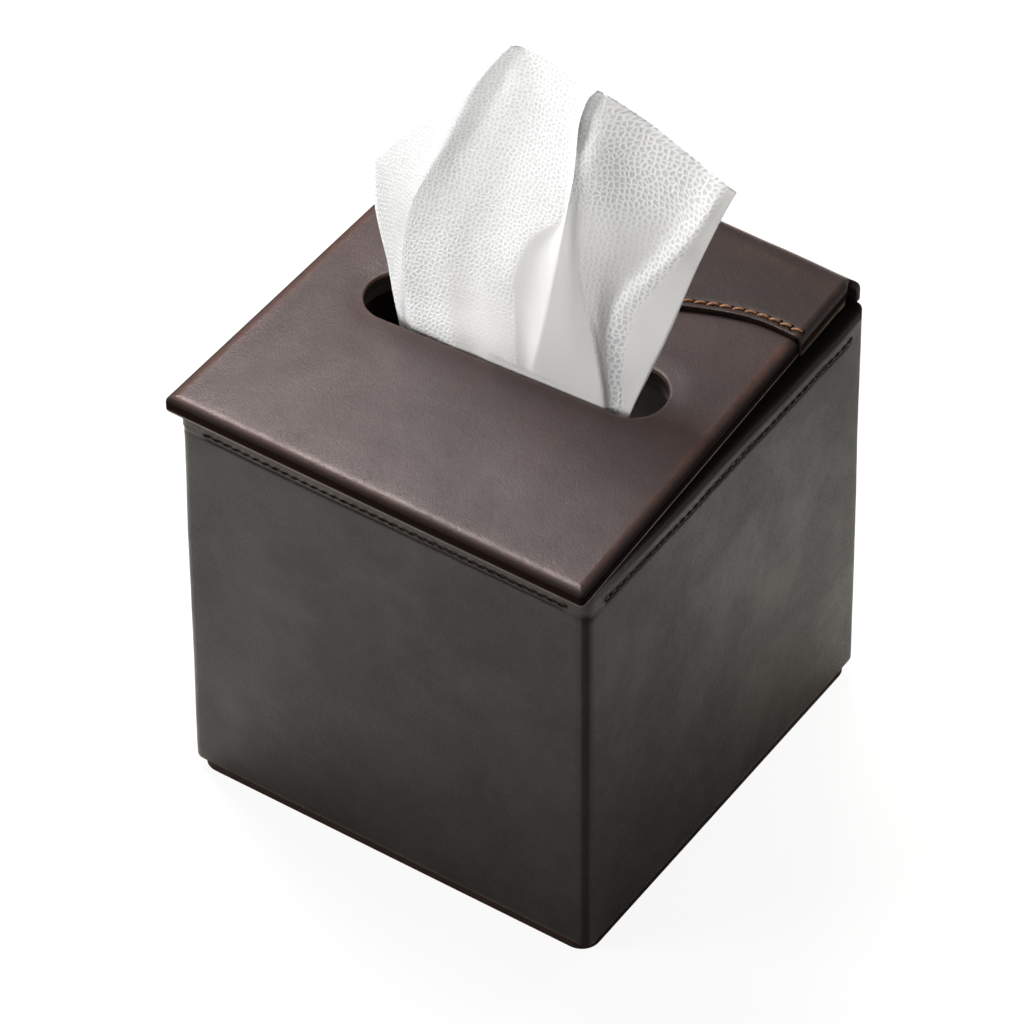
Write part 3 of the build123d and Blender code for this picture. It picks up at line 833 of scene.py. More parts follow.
# %% [markdown]
# ### What stiffens the lid
#
# The lid's board and its suede lining are cut to the leather's own outline. The solid's two
# plates are rectangles with a straight slot, so they are copied and their points are moved
# by the same two rules as the leather's: round the slot first, then narrower to the back.

# %% Board and lining of the lid
def lid_plate(node, name, finish):
    """A copy of one of the lid's plates that follows the leather's narrowing and slot."""
    mesh = nodes[node].data.copy()
    mesh.transform(nodes[node].matrix_world)
    points = np.empty(len(mesh.vertices) * 3)
    mesh.vertices.foreach_get("co", points)
    points = points.reshape(-1, 3) / MM
    by_slot = np.abs(points[:, 0]) < SLOT_HALF + 3
    by_slot &= np.abs(points[:, 1] - SLOT_Y) < SLOT_RADIUS + 3
    x, y = turned_slot(points[:, 0], points[:, 1], SLOT_Y, by_slot.astype(float))
    points[:, 0], points[:, 1] = narrowed(x, y), y
    mesh.vertices.foreach_set("co", (points * MM).ravel())
    mesh.materials.clear()
    mesh.materials.append(finish)
    mesh.update()
    plate = link_new(name, mesh)
    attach(plate, "lid")
    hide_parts(node)
    print(f"{name}: {len(mesh.polygons)} faces")


lid_plate("lid_board", "lid_stiff_board", board)
lid_plate("lid_lining", "lid_suede_lining", lining)

# %% [markdown]
# ## The hinge strip and its flap
#
# One piece of leather climbs the back wall, bends over the lid's rear edge and lies on the
# lid. Its front edge swings forward to a tongue in the middle, and at both sides it is drawn
# down over the lid. It is one grid from the foot to the flap's edge, given its thickness
# along its own normals. It has to bend when the lid opens, so it isn't parented to either
# body.

# %% Path of the hinge strip
STRIP = 2.0
STRIP_HALF = 67.0  # half of its flat part
BEND_HALF = 68.0
BEND = 7.5
BEND_Y = HALF_DEPTH - BEND
FLAP_SIDE_Y = 39.0
TONGUE = 17.0
FLAP_CURVE_HALF = 62.5
FLAP_HALF = 70.4
FLAP_ROW = 2.4  # from the flap's edge to its stitches
LIP_DROP = 5.2  # how far the flap's sides come down over the lid
LIP_ROUND = 2.4
LIP_THICK = 0.85
LIP_STEPS = 9


def lid_top(y):
    return RIM + (y + HALF_DEPTH) * math.tan(LID_TILT) + LID_THICK / math.cos(LID_TILT)


bend_z = lid_top(BEND_Y) - (BEND - STRIP) / math.cos(LID_TILT)
bend_end = math.pi / 2 + LID_TILT


def flap_front(x):
    """How far forward the flap's edge lies at x, as a depth."""
    curve = 0.5 * (1 + np.cos(np.pi * np.clip(np.abs(x) / FLAP_CURVE_HALF, 0, 1)))
    return FLAP_SIDE_Y - TONGUE * curve


def strip_side(half, lip, lip_drop):
    """The strip's right side, as distance from the middle and depth: flat where lip is 0,
    and rolled down over the lid where it is 1."""
    side = []
    arc_end = FLAP_HALF - LIP_ROUND
    for t in np.arange(1, LIP_STEPS + 1) / LIP_STEPS:
        if t < 0.3:
            rolled = (STRIP_HALF + (arc_end - STRIP_HALF) * t / 0.3, 0.0)
        elif t < 0.75:
            a = (t - 0.3) / 0.45 * math.pi / 2
            rolled = (arc_end + LIP_ROUND * math.sin(a), -LIP_ROUND * (1 - math.cos(a)))
        else:
            drop = LIP_ROUND + (STRIP + lip_drop - LIP_ROUND) * (t - 0.75) / 0.25
            rolled = (FLAP_HALF, -drop)
        straight = np.array([STRIP_HALF + (half - STRIP_HALF) * t, 0.0])
        side.append(straight * (1 - lip) + np.array(rolled) * lip)
    return np.array(side).T


wall_z = np.concatenate([np.linspace(FOOT, RIM - 2, 50), np.linspace(RIM - 1.5, bend_z, 8)])
lines = [("wall", z) for z in wall_z]
lines += [("bend", angle) for angle in np.linspace(0, bend_end, 19)[1:]]
lines += [("flap", share) for share in np.linspace(0, 1, 41)[1:]]
flap_rows = np.array([kind == "flap" for kind, _ in lines])[:, None]
bend_rows = np.array([kind == "bend" for kind, _ in lines])[:, None]
bend_angle = np.array([value if kind == "bend" else 0.0 for kind, value in lines])[:, None]
print("rows on wall, bend and lid:", len(wall_z), bend_rows.sum(), flap_rows.sum())

# %% Grid of the hinge strip
flat_x = np.linspace(-STRIP_HALF, STRIP_HALF, 91)
outer_grid, lip_share = [], []
for kind, value in lines:
    if kind == "wall":
        half = STRIP_HALF + 0.12  # it widens as it comes up past the rim
        half += 0.83 * float(smooth_step(value, RIM - 0.1, RIM + 1.2))
        lip = 0.0
        start, out = (0, HALF_DEPTH, value), np.array([0, 1.0, 0])
    elif kind == "bend":
        half, lip = BEND_HALF, float(smooth_step(value, math.radians(52), math.radians(84)))
        out = np.array([0, math.cos(value), math.sin(value)])
        start = np.array([0, BEND_Y, bend_z]) + BEND * out
    else:
        half, lip = BEND_HALF, 1.0
        start, out = (0, 0, 0), np.array([0, -math.sin(LID_TILT), math.cos(LID_TILT)])
    across, drops = strip_side(half, lip, LIP_DROP - (0.6 if kind == "bend" else 0.0))
    xs = np.concatenate([-across[::-1], flat_x, across])
    drops = np.concatenate([drops[::-1], np.zeros(len(flat_x)), drops])
    points = np.tile(np.array(start, float), (len(xs), 1))
    points[:, 0] = xs
    if kind == "flap":
        start_y = BEND_Y + BEND * math.cos(bend_end)
        front = flap_front(np.clip(xs, -FLAP_HALF, FLAP_HALF))
        points[:, 1] = start_y + (front - start_y) * value
        points[:, 2] = lid_top(points[:, 1]) + STRIP / math.cos(LID_TILT)
    outer_grid.append(points + drops[:, None] * out)
    from_fold = np.clip((np.abs(xs) - STRIP_HALF) / (FLAP_HALF - STRIP_HALF), 0, 1)
    lip_share.append(smooth_step(from_fold, 0.0, 0.8) * lip)
outer_grid = np.array(outer_grid)
lip_share = np.array(lip_share)
print("grid of the strip:", outer_grid.shape[:2])

# %% Thickness of the hinge strip
def grid_normals(grid):
    n = np.cross(np.gradient(grid, axis=1), np.gradient(grid, axis=0))
    n /= np.maximum(np.linalg.norm(n, axis=-1, keepdims=True), 1e-9)
    return n


strip_normals = grid_normals(outer_grid)
if strip_normals[len(wall_z) // 2, outer_grid.shape[1] // 2, 1] < 0:
    strip_normals = -strip_normals
x, y, z = np.moveaxis(outer_grid, -1, 0)
thickness = STRIP - (STRIP - LIP_THICK) * lip_share
inner_grid = outer_grid - strip_normals * thickness[..., None]
wavy = 0.24 * waves(outer_grid, 38, 21) + 0.05 * waves(outer_grid, 12, 22)
# the flap swells beside its tongue, and sinks along its stitches
wavy += 0.25 * bell(np.abs(x) - 50, 14) * flap_rows * 0.6
wavy *= smooth_step(70.2 - np.abs(x), 0, 5)
distance_front = np.abs(y - flap_front(x))
slope = (flap_front(x + 0.1) - flap_front(x - 0.1)) / 0.2
from_row = distance_front / np.sqrt(1 + slope**2) - FLAP_ROW
to_side = FLAP_HALF - np.abs(x)
in_groove = bell(from_row, 0.8) * flap_rows * smooth_step(to_side, 2.5, 4)
lift = np.maximum(wavy, -0.1) - 0.28 * in_groove
outer_shape = outer_grid + strip_normals * lift[..., None]
on_lid_share = smooth_step(bend_angle, math.radians(20), math.radians(84)) + flap_rows


def with_lid(grid):
    """Narrows the strip with the lid that it lies on."""
    grid = grid.copy()
    across = narrowed(grid[..., 0], np.minimum(grid[..., 1], LID_REAR))
    grid[..., 0] += (across - grid[..., 0]) * on_lid_share
    return grid.reshape(-1, 3)


print(f"the strip's leather is {thickness.min():.2f} to {thickness.max():.2f} mm thick")

# %% Hinge strip
rolled_over = bell(bend_angle - math.radians(46), math.radians(14))
from_back = np.hypot(y - BEND_Y, z - bend_z)
strip_wear = np.where(flap_rows, 0.35 * bell(distance_front, 1.3), 0.0)
strip_wear = np.maximum(strip_wear, np.where(bend_rows, rolled_over, 0.0))
strip_wear = np.maximum(strip_wear, 0.3 * bell(from_back - BEND, 6) * flap_rows)
strip_wear = np.maximum(strip_wear, 0.22 * bell(to_side - 2.5, 2.2))
# painted shade on the faces of the rolled sides and in the stitches' groove, and a painted
# highlight along the sides' lowest line
below_top = lid_top(y) + STRIP - z
side_face = (flap_rows | bend_rows) & (to_side < 0.8)
strip_painted_shade = 0.85 * smooth_step(below_top, 0.8, 2.8) * side_face
strip_painted_shade = np.maximum(strip_painted_shade, 0.85 * in_groove)
strip_painted_highlight = 0.9 * smooth_step(below_top, STRIP + LIP_DROP - 0.9, STRIP + LIP_DROP) * side_face
strip_wear *= 1 - strip_painted_shade
under = outer_grid[..., 0].size
top_faces, under_faces, cut_faces = two_sided_faces(*outer_grid.shape[:2])
hinge = piece(
    "hinge_leather",
    np.concatenate([with_lid(outer_shape), with_lid(inner_grid)]),
    np.concatenate([top_faces, under_faces, cut_faces]),
    [flap_leather, dark_edge, shaded_copy_of_leather],
    attributes={
        "wear": np.concatenate([strip_wear.ravel(), np.full(under, 0.2)]),
        "painted_shade": np.concatenate([strip_painted_shade.ravel(), np.zeros(under)]),
        "pale": np.concatenate([strip_painted_highlight.ravel(), np.zeros(under)]),
    },
)
# the rolled sides' faces in painted shade take the dark copy of the leather
on_side_lip = (strip_painted_shade * side_face).ravel() > 0.5
for polygon in hinge.data.polygons:
    if polygon.index >= len(top_faces) + len(under_faces):
        polygon.material_index = 1
    elif polygon.index < len(top_faces) and on_side_lip[list(polygon.vertices)].all():
        polygon.material_index = 2

# %% Hinge strip's soft edge and its bend
soft = bmesh.new()
soft.from_mesh(hinge.data)
soft.edges.ensure_lookup_table()
flap_start = (HINGE_Y - 9.0) * MM
sharp = [
    e
    for e in soft.edges
    if e.is_manifold
    and e.calc_face_angle(0) > math.radians(55)
    and max(v.co.y for v in e.verts) < flap_start
    and min(v.co.z for v in e.verts) > RIM * MM
]
softened = {"offset": 0.38 * MM, "segments": 3, "profile": 0.5}
bmesh.ops.bevel(soft, geom=sharp, affect="EDGES", material=-1, **softened)
soft.to_mesh(hinge.data)
soft.free()
hinge.data.shade_smooth()
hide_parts("back_leather", "hinge_flap")
print("hinge strip edges softened:", len(sharp))
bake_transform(hinge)

# %% [markdown]
# ## Stitches
#
# Hand stitches lie in a row, each a short arch of thread between two needle holes, at a
# slight slant to the row. They all follow one rule, so Geometry Nodes lay them: the path is
# cut at even steps, one arch is set on each, turned along the path, and varied a little by a
# seed, because no hand pulls every stitch alike. The path is drawn flat, with up as +Z, and
# the finished row is then moved on to its wall or the lid.


# %% Tree that lays a row of stitches
def stitch_tree():
    tree = bpy.data.node_groups.new("stitch_row", "GeometryNodeTree")

    def socket(name, kind, in_out="INPUT"):
        kind = "NodeSocket" + kind
        return tree.interface.new_socket(name=name, in_out=in_out, socket_type=kind)

    def add(kind, *values, settings=None, **inputs):
        return add_node(tree, kind, *values, settings=settings, **inputs)

    def calc(operation, a, b):
        return add("ShaderNodeMath", a, b, settings={"operation": operation}).outputs[0]

    def vector(**parts):
        return add("ShaderNodeCombineXYZ", **parts).outputs[0]

    def marked(shape, is_hole):
        settings = {"data_type": "BOOLEAN", "domain": "FACE"}
        named = {"Name": "needle_hole", "Value": is_hole}
        kind = "GeometryNodeStoreNamedAttribute"
        return add(kind, settings=settings, Geometry=shape, **named).outputs[0]

    def varied(low, high, seed):
        node = add("FunctionNodeRandomValue", settings={"data_type": "FLOAT"}, Seed=seed)
        put(tree, node.inputs[2], low)
        put(tree, node.inputs[3], high)
        return node.outputs[1]

    socket("Path", "Geometry")
    for name, value in (
        ("Pitch", 3.7),
        ("Stitch Length", 3.2),
        ("Thread Radius", 0.33),
        ("Rise", 0.6),
        ("Sink", 0.25),
        ("Slant", 0.2),
    ):
        socket(name, "Float").default_value = value
    socket("Seed", "Int")
    socket("Thread", "Material")
    socket("Needle Hole", "Material")
    socket("Stitches", "Geometry", "OUTPUT")
    given = tree.nodes.new("NodeGroupInput").outputs
    out = tree.nodes.new("NodeGroupOutput")

    # one arch of thread, and a flat dot for the needle hole at each of its ends, whose dark
    # finish is painted shade in the hole
    half = calc("MULTIPLY", given["Stitch Length"], 0.5)
    down = calc("MULTIPLY", given["Sink"], -1.0)
    start, end = vector(X=calc("MULTIPLY", half, -1.0), Z=down), vector(X=half, Z=down)
    middle = vector(Z=calc("MULTIPLY", given["Rise"], 2.0))
    bow = {"Resolution": 10, "Start": start, "Middle": middle, "End": end}
    arch = add("GeometryNodeCurveQuadraticBezier", **bow).outputs[0]
    round_thread = {"Resolution": 8, "Radius": given["Thread Radius"]}
    profile = add("GeometryNodeCurvePrimitiveCircle", **round_thread).outputs["Curve"]
    tube = add("GeometryNodeCurveToMesh", Curve=arch, Profile_Curve=profile, Fill_Caps=True)
    both = add("GeometryNodeJoinGeometry", marked(tube.outputs[0], False))
    for side in (start, end):
        dot = add("GeometryNodeMeshUVSphere", Segments=10, Rings=6, Radius=1.0)
        width = calc("MULTIPLY", given["Thread Radius"], 1.75)
        flat = {"operation": "MULTIPLY"}
        place = add("ShaderNodeVectorMath", side, (1.0, 1.0, 0.0), settings=flat).outputs[0]
        moved = {"Translation": place, "Scale": vector(X=width, Y=width, Z=0.09)}
        dot = add("GeometryNodeTransform", Geometry=dot.outputs["Mesh"], **moved)
        tree.links.new(marked(dot.outputs[0], True), both.inputs[0])

    # the path cut at even steps, and an arch on each, turned along the path
    steps = add("GeometryNodeResampleCurve", settings={"mode": "LENGTH"}, Curve=given["Path"])
    put(tree, steps.inputs["Length"], given["Pitch"])
    along = add("ShaderNodeSeparateXYZ", add("GeometryNodeInputTangent").outputs[0]).outputs
    heading = calc("ADD", calc("ARCTAN2", along[1], along[0]), given["Slant"])
    heading = calc("ADD", heading, varied(-0.09, 0.09, given["Seed"]))
    turned = {"Instance": both.outputs[0], "Rotation": vector(Z=heading)}
    size = varied(0.93, 1.05, calc("ADD", given["Seed"], 7))
    laid = add("GeometryNodeInstanceOnPoints", steps.outputs[0], Scale=size, **turned)
    real = add("GeometryNodeRealizeInstances", Geometry=laid.outputs[0]).outputs[0]
    threads = add("GeometryNodeSetMaterial", Geometry=real, Material=given["Thread"])
    boolean = {"data_type": "BOOLEAN"}
    is_hole = add("GeometryNodeInputNamedAttribute", settings=boolean, Name="needle_hole")
    holes = {"Selection": is_hole.outputs[0], "Material": given["Needle Hole"]}
    whole = add("GeometryNodeSetMaterial", Geometry=threads.outputs[0], **holes)
    tree.links.new(whole.outputs[0], out.inputs[0])
    return tree


row_tree = stitch_tree()
print("stitch tree nodes:", len(row_tree.nodes))


# %% One row of stitches
def stitch_row(name, path, place, body, thread_finish, hole_shade_finish, slot, **sizes):
    """Lays stitches along a flat path of (x, y) and moves them by place, all in mm."""
    curve = bpy.data.curves.new(name + "_path", "CURVE")
    curve.dimensions = "3D"
    spline = curve.splines.new("POLY")
    spline.points.add(len(path) - 1)
    for point, (x, y) in zip(spline.points, path):
        point.co = (x, y, 0, 1)
    holder = link_new(name + "_path", curve)
    modifier = holder.modifiers.new("stitches", "NODES")
    modifier.node_group = row_tree
    wanted = {"Thread": thread_finish, "Needle Hole": hole_shade_finish}
    wanted.update({key.replace("_", " ").title(): value for key, value in sizes.items()})
    for item in row_tree.interface.items_tree:
        if item.in_out == "INPUT" and item.name in wanted:
            modifier[item.identifier] = wanted[item.name]
    graph = bpy.context.evaluated_depsgraph_get()
    mesh = bpy.data.meshes.new_from_object(holder.evaluated_get(graph), depsgraph=graph)
    bpy.data.objects.remove(holder)
    while None in list(mesh.materials):  # the tube's own empty slot
        mesh.materials.pop(index=list(mesh.materials).index(None))
    mesh.name = name
    mesh.transform(place)
    mesh.transform(Matrix.Scale(MM, 4))
    mesh.shade_smooth()
    obj = link_new(name, mesh)
    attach(obj, body)
    print(f"{name}: {len(mesh.polygons)} faces in {[m.name for m in mesh.materials]}")


def wall_place(right, up, out, origin):
    """Moves a flat path's x, y and height on to a wall."""
    return Matrix.Translation(origin) @ Matrix((right, up, out)).transposed().to_4x4()


# %% Stitches round the rim
ROW = RIM - 7.4
rim_rows = (
    ("front_stitches", (1, 0, 0), (0, -1, 0), (0, -HALF_DEPTH - 0.42, ROW), -60.0, 61.0),
    ("right_stitches", (0, 1, 0), (1, 0, 0), (HALF_WIDTH + 0.42, 0, ROW), -62.0, 62.5),
    ("left_stitches", (0, -1, 0), (-1, 0, 0), (-HALF_WIDTH - 0.42, 0, ROW), -62.5, 62.0),
)
for name, right, out, origin, start, stop in rim_rows:
    stitch_row(
        name,
        [(start, 0.0), (stop, 0.0)],
        wall_place(right, (0, 0, 1), out, origin),
        "box",
        dark_thread,
        dark_edge,
        "wall_leather",
        pitch=3.3,
        stitch_length=2.7,
        thread_radius=0.34,
        rise=0.42,
        slant=0.20,
        seed=len(name),
    )

# %% Stitches along the flap
flap_path = []
for x in np.linspace(-67.5, 67.5, 271):  # the flap's width, but for its rolled sides
    y = float(flap_front(x))
    slope = float(flap_front(x + 0.1) - flap_front(x - 0.1)) / 0.2
    back_by = FLAP_ROW * math.sqrt(1 + slope * slope)
    across = float(narrowed(x, y + back_by))
    flap_path.append((across, (y + back_by + HALF_DEPTH) / math.cos(LID_TILT)))
tilt = Matrix.Rotation(LID_TILT, 4, "X")
on_flap = Matrix.Translation((0, -HALF_DEPTH, RIM)) @ tilt
on_flap = on_flap @ Matrix.Translation((0, 0, LID_THICK + STRIP - 0.03))
stitch_row(
    "flap_stitches",
    flap_path,
    on_flap,
    "lid",
    tan_thread,
    shaded_copy_of_leather,
    "lid_leather",
    pitch=3.75,
    stitch_length=3.5,
    thread_radius=0.45,
    rise=0.50,
    sink=0.45,
    slant=0.20,
    seed=5,
)

# %% [markdown]
# ## The standing tissue
#
# A tissue that is pulled up through a slot doesn't stand flat. It is gathered where it comes
# out, leans back a little, and hangs in a few long folds, some sharp and some soft. The most
# direct way to make one is to draw its folds: each line below runs from the slot up to the
# paper's top edge, and the paper is stretched between neighbouring lines. Sharp folds keep
# their line, soft ones are evened out. At the left edge the paper turns back and makes a
# shorter second layer behind, so the back view is paper too. Then the single surface gets
# the thickness of two plies.

# %% Fold lines of the standing tissue
TAIL = 139.3  # where the paper ends, inside the box
# name: how crisp the fold is at the slot, half way and at the top, then its points
folds = {
    "left_edge": (
        (1, 1, 1),
        [(-32.2, -13.6, 153), (-39.7, -8.9, 165.4), (-47.2, -5.1, 183.6),
         (-49.5, -2.7, 199.7)],
    ),
    "left_ridge": (
        (0, 0.35, 0.95),
        [(-27.4, -15.1, 154.7), (-33.2, -11.3, 166.4), (-35.6, -8, 180),
         (-33.5, -5.8, 196.1), (-27.6, -4.5, 210.4), (-22, -2.7, 224.4),
         (-16.5, 0, 241), (-12.1, 1.6, 250.2), (-6.4, 3.6, 260.1)],
    ),
    "left_valley": (
        (0, 0, 0.7),
        [(-21.7, -14.7, 154.3), (-25.6, -11.3, 164.5), (-27.7, -7.4, 179.8),
         (-25.3, -3.7, 197.5), (-20.6, 0.3, 216), (-15.4, 3.3, 230.4),
         (-11.4, 5.4, 241), (-9.8, 6.2, 247.9), (-6, 4.5, 259.6)],
    ),
    "first_gather": (
        (0.7, 0.3, 0),
        [(-13.7, -15.4, 156.7), (-18.4, -11.6, 168), (-19.6, -7.2, 183.9),
         (-15.5, -2.4, 205.4), (-9.9, 2.6, 231), (-4.5, 6.8, 258.3)],
    ),
    "gather_hollow": (
        (0, 0, 0),
        [(-7.6, -14.1, 155.8), (-13.1, -10, 170), (-13.9, -6, 185.9),
         (-9.8, -1.7, 207.8), (-5.9, 3.1, 232.7), (-0.8, 6.8, 258.5)],
    ),
    "second_gather": (
        (0.7, 0.3, 0),
        [(0.3, -15, 157.5), (-4.7, -10.9, 171.6), (-6.7, -6.1, 189.7),
         (-3.8, -1.6, 210.8), (-1.2, 3.2, 235), (3.1, 6.8, 258.7)],
    ),
    "arch": (
        (0.6, 0.85, 0),
        [(7.6, -15, 157.2), (3.1, -10.1, 178.3), (2.6, -8.8, 187.2), (5.2, -7, 197.8),
         (10, -6.1, 205.7), (15.9, -5.5, 212.1), (16.6, -3.4, 222.7),
         (16.9, -0.3, 235.5), (16.8, 4.9, 256.3)],
    ),
    "arch_hollow": (
        (0, 0, 0),
        [(9.7, -14.4, 156.3), (8.5, -10.1, 173.7), (8.3, -7.1, 189.9),
         (11.5, -5.3, 202.1), (16.2, -5.2, 210.9), (17.5, -3.6, 223.3),
         (18.1, -1.1, 236.7), (19.6, 4.1, 257.4)],
    ),
    "long_ridge": (
        (1, 1, 1),
        [(12.3, -14.5, 156.1), (15.6, -10.4, 185.1), (17.3, -7.5, 204.3),
         (18.4, -5.2, 218.4), (19.3, -3.8, 227.8), (19.2, -2.4, 235),
         (18.8, -0.4, 245.2), (19.7, 0.9, 251.6), (20.9, 1.7, 255.6),
         (22.8, 3.3, 258.3)],
    ),
    "cone": (
        (0, 0, 0),
        [(23.5, -13.6, 155.9), (21.5, -9.6, 184.1), (20.3, -6.9, 204.5),
         (19.8, -4.6, 218.7), (20.6, -2.8, 227.6), (20.6, -1.2, 234.8),
         (19.1, 2.4, 243.2), (19.8, 3.9, 249.5), (20.9, 4.7, 253.3), (23, 5.1, 256.3)],
    ),
    "cone_side": (
        (0.95, 0.6, 0),
        [(35.5, -12.3, 155.5), (30, -9, 176.1), (25.7, -7.4, 188.1), (22.4, -6, 202.9),
         (21.3, -3.3, 218.5), (22.9, -1.8, 228.1), (23.9, -0.8, 236.1),
         (23.6, 2.1, 245.7), (23.8, 3.7, 251.7), (24.6, 4.6, 255.2), (25.4, 4.9, 256.2)],
    ),
    "right_panel": (
        (0, 0, 0),
        [(36.3, -11.4, 154.8), (31.3, -8.1, 174.5), (29.2, -6, 189.1),
         (29.7, -3.3, 204.6), (31.3, 0.2, 219.1), (32.8, 4.8, 234.1),
         (35.4, 9.3, 248.5)],
    ),
    "pleat_hollow": (
        (0, 0.3, 0),
        [(37.3, -10.9, 154.5), (32.6, -6.9, 174.3), (32.4, -4.2, 183.2),
         (35, -1.7, 192.7), (41.4, 1.8, 204), (48, 6.8, 218.9), (52.8, 11.2, 239.1)],
    ),
    "pleat_ridge": (
        (0, 0.35, 0.4),
        [(39.4, -10.5, 154.5), (35.5, -5.8, 174.9), (35.7, -4.1, 187.3),
         (41.5, -1.9, 198.6), (50.1, 1.6, 211.9), (56.2, 5.8, 223.9),
         (60.5, 10.5, 236.6)],
    ),
    "lower_panel": (
        (0, 0, 0),
        [(41.1, -10.1, 154.7), (40.4, -6.5, 168.4), (43.4, -3.1, 183.6),
         (49.5, 0.7, 198.5), (54.8, 5, 213.1), (58.7, 8.9, 226.6), (61.8, 11.1, 235.5)],
    ),
    "right_edge": (
        (1, 1, 1),
        [(42.8, -9.6, 155.2), (45.9, -5.7, 167.5), (50.2, -1.4, 183.9),
         (55, 4.4, 205.8), (59.6, 9.2, 223.2), (63.1, 12, 234)],
    ),
}
print("folds drawn:", len(folds))


def through(points, count):
    """A smooth line through the given points, from the tail inside the box to the top."""
    points = np.array(points, float)
    first = points[0]
    foot = np.array([[first[0] * 0.92, -11.0 + 0.25 * (first[1] + 11), TAIL]])
    points = np.concatenate([foot, points])
    ends = np.concatenate([[2 * points[0] - points[1]], points, [2 * points[-1] - points[-2]]])
    share = (points[:, 2] - points[0, 2]) / (points[-1, 2] - points[0, 2])
    line = []
    for v in np.linspace(0, 1, count):
        k = min(int(np.searchsorted(share, v, side="right")) - 1, len(points) - 2)
        k = max(k, 0)
        t = (v - share[k]) / (share[k + 1] - share[k])
        a, b, c, d = ends[k], ends[k + 1], ends[k + 2], ends[k + 3]
        line.append(
            0.5 * (2 * b + (c - a) * t + (2 * a - 5 * b + 4 * c - d) * t**2
                   + (3 * b - a - 3 * c + d) * t**3)
        )
    return np.array(line)


# %% Stretching the paper between its folds
TALL = 128  # points up the paper
names = list(folds)
rise = np.linspace(0, 1, TALL)
lines_up = [through(folds[name][1], TALL) for name in names]
crisp_up = [np.interp(rise, (0.12, 0.5, 1), folds[name][0]) for name in names]
front_columns, crisp, fold_place = [], [], []
for k in range(len(names) - 1):
    a, b = lines_up[k], lines_up[k + 1]
    steps = int(np.clip(np.linalg.norm(a - b, axis=1).max() / 0.9, 6, 30))
    for i in range(steps):
        t = i / steps
        front_columns.append(a * (1 - t) + b * t)
        near_a, near_b = bell(i, 0.8) * crisp_up[k], bell(steps - i, 0.8) * crisp_up[k + 1]
        crisp.append(np.maximum(near_a, near_b))
        fold_place.append(k + t)
front_columns.append(lines_up[-1])
crisp.append(crisp_up[-1])
fold_place.append(len(names) - 1.0)
front_sheet = np.array(front_columns)
crisp = np.array(crisp)
fold_place = np.array(fold_place)
for _ in range(24):  # soft folds are evened out
    even = (front_sheet[:-2] + front_sheet[2:]) / 2
    keep = (0.5 * (1 - crisp[1:-1]))[..., None]
    front_sheet[1:-1] += (even - front_sheet[1:-1]) * keep
print("front of the tissue:", front_sheet.shape[:2])

# %% The second layer, behind
top_line = np.array([line[-1, ::2] for line in lines_up])
edge_x, edge_z = lines_up[-1][:, 0], lines_up[-1][:, 2]
SEEN_ACROSS, SEEN_UP = 0.66, 1.2  # how far a millimetre of depth shifts a point in this view
REAR_FOOT = (-36.0, 38.0)  # from where to where the second layer comes out of the slot
PAPER_FOOT = (-12, 157)  # depth and height at which the paper leaves the slot
LEAN = 0.2  # how far it leans back for each millimetre up
LEAST_GAP = 2.6  # between the two layers
walk = np.concatenate([[0], np.cumsum(np.hypot(*np.diff(top_line, axis=0).T))])
walk /= walk[-1]
rear_columns = []
for t in np.linspace(0.0, 1.0, 70)[1:]:
    top_x = np.interp(t, walk, top_line[:, 0]) * 0.94
    foot_x = REAR_FOOT[0] + (REAR_FOOT[1] - REAR_FOOT[0]) * t
    bulge = np.sin(np.pi * rise) * (2.0 * math.sin(t * 9.0) - 5.0 * (1 - t))
    pleats = 1.3 * math.sin(t * 19 + 0.6) + 0.7 * np.sin(t * 31 + rise * 2.2)
    behind = 3.4 + 3.2 * smooth_step(t, 0, 0.12) * smooth_step(rise, 0.15, 0.6)
    behind += 7.0 * smooth_step(t, 0.50, 0.85) * smooth_step(rise, 0.20, 0.60)
    behind += pleats * (0.25 + 0.6 * smooth_step(rise, 0.15, 0.6))
    behind = np.maximum(behind, LEAST_GAP)
    # kept low and narrow enough to stay out of sight behind the front layer
    hidden = top_x + SEEN_ACROSS * behind[-1]
    top_z = np.interp(hidden, top_line[:, 0], top_line[:, 1]) - SEEN_UP * behind[-1] - 2.0
    x = foot_x * 0.93 + (top_x - foot_x * 0.93) * rise**1.15 + bulge
    z = TAIL + (top_z - TAIL) * rise
    within = np.interp(z + SEEN_UP * behind, edge_z, edge_x) - SEEN_ACROSS * behind - 2.5
    x = np.minimum(x, within - 14.0 * (1 - t))
    leaning = PAPER_FOOT[0] + LEAN * (z - PAPER_FOOT[1])
    rear_columns.append(np.column_stack([x, leaning + behind, z]))
rear_sheet = np.array(rear_columns)
turn_back = []
for t in (0.25, 0.5, 0.75):
    a, b = front_sheet[0], rear_sheet[0]
    middle = a * (1 - t) + b * t
    middle[:, 0] -= 0.9 * math.sin(math.pi * t)
    turn_back.append(middle)
sheet_grid = np.concatenate([rear_sheet[::-1], np.array(turn_back)[::-1], front_sheet])
behind_count = len(rear_sheet) + len(turn_back)
print("whole tissue:", sheet_grid.shape[:2])

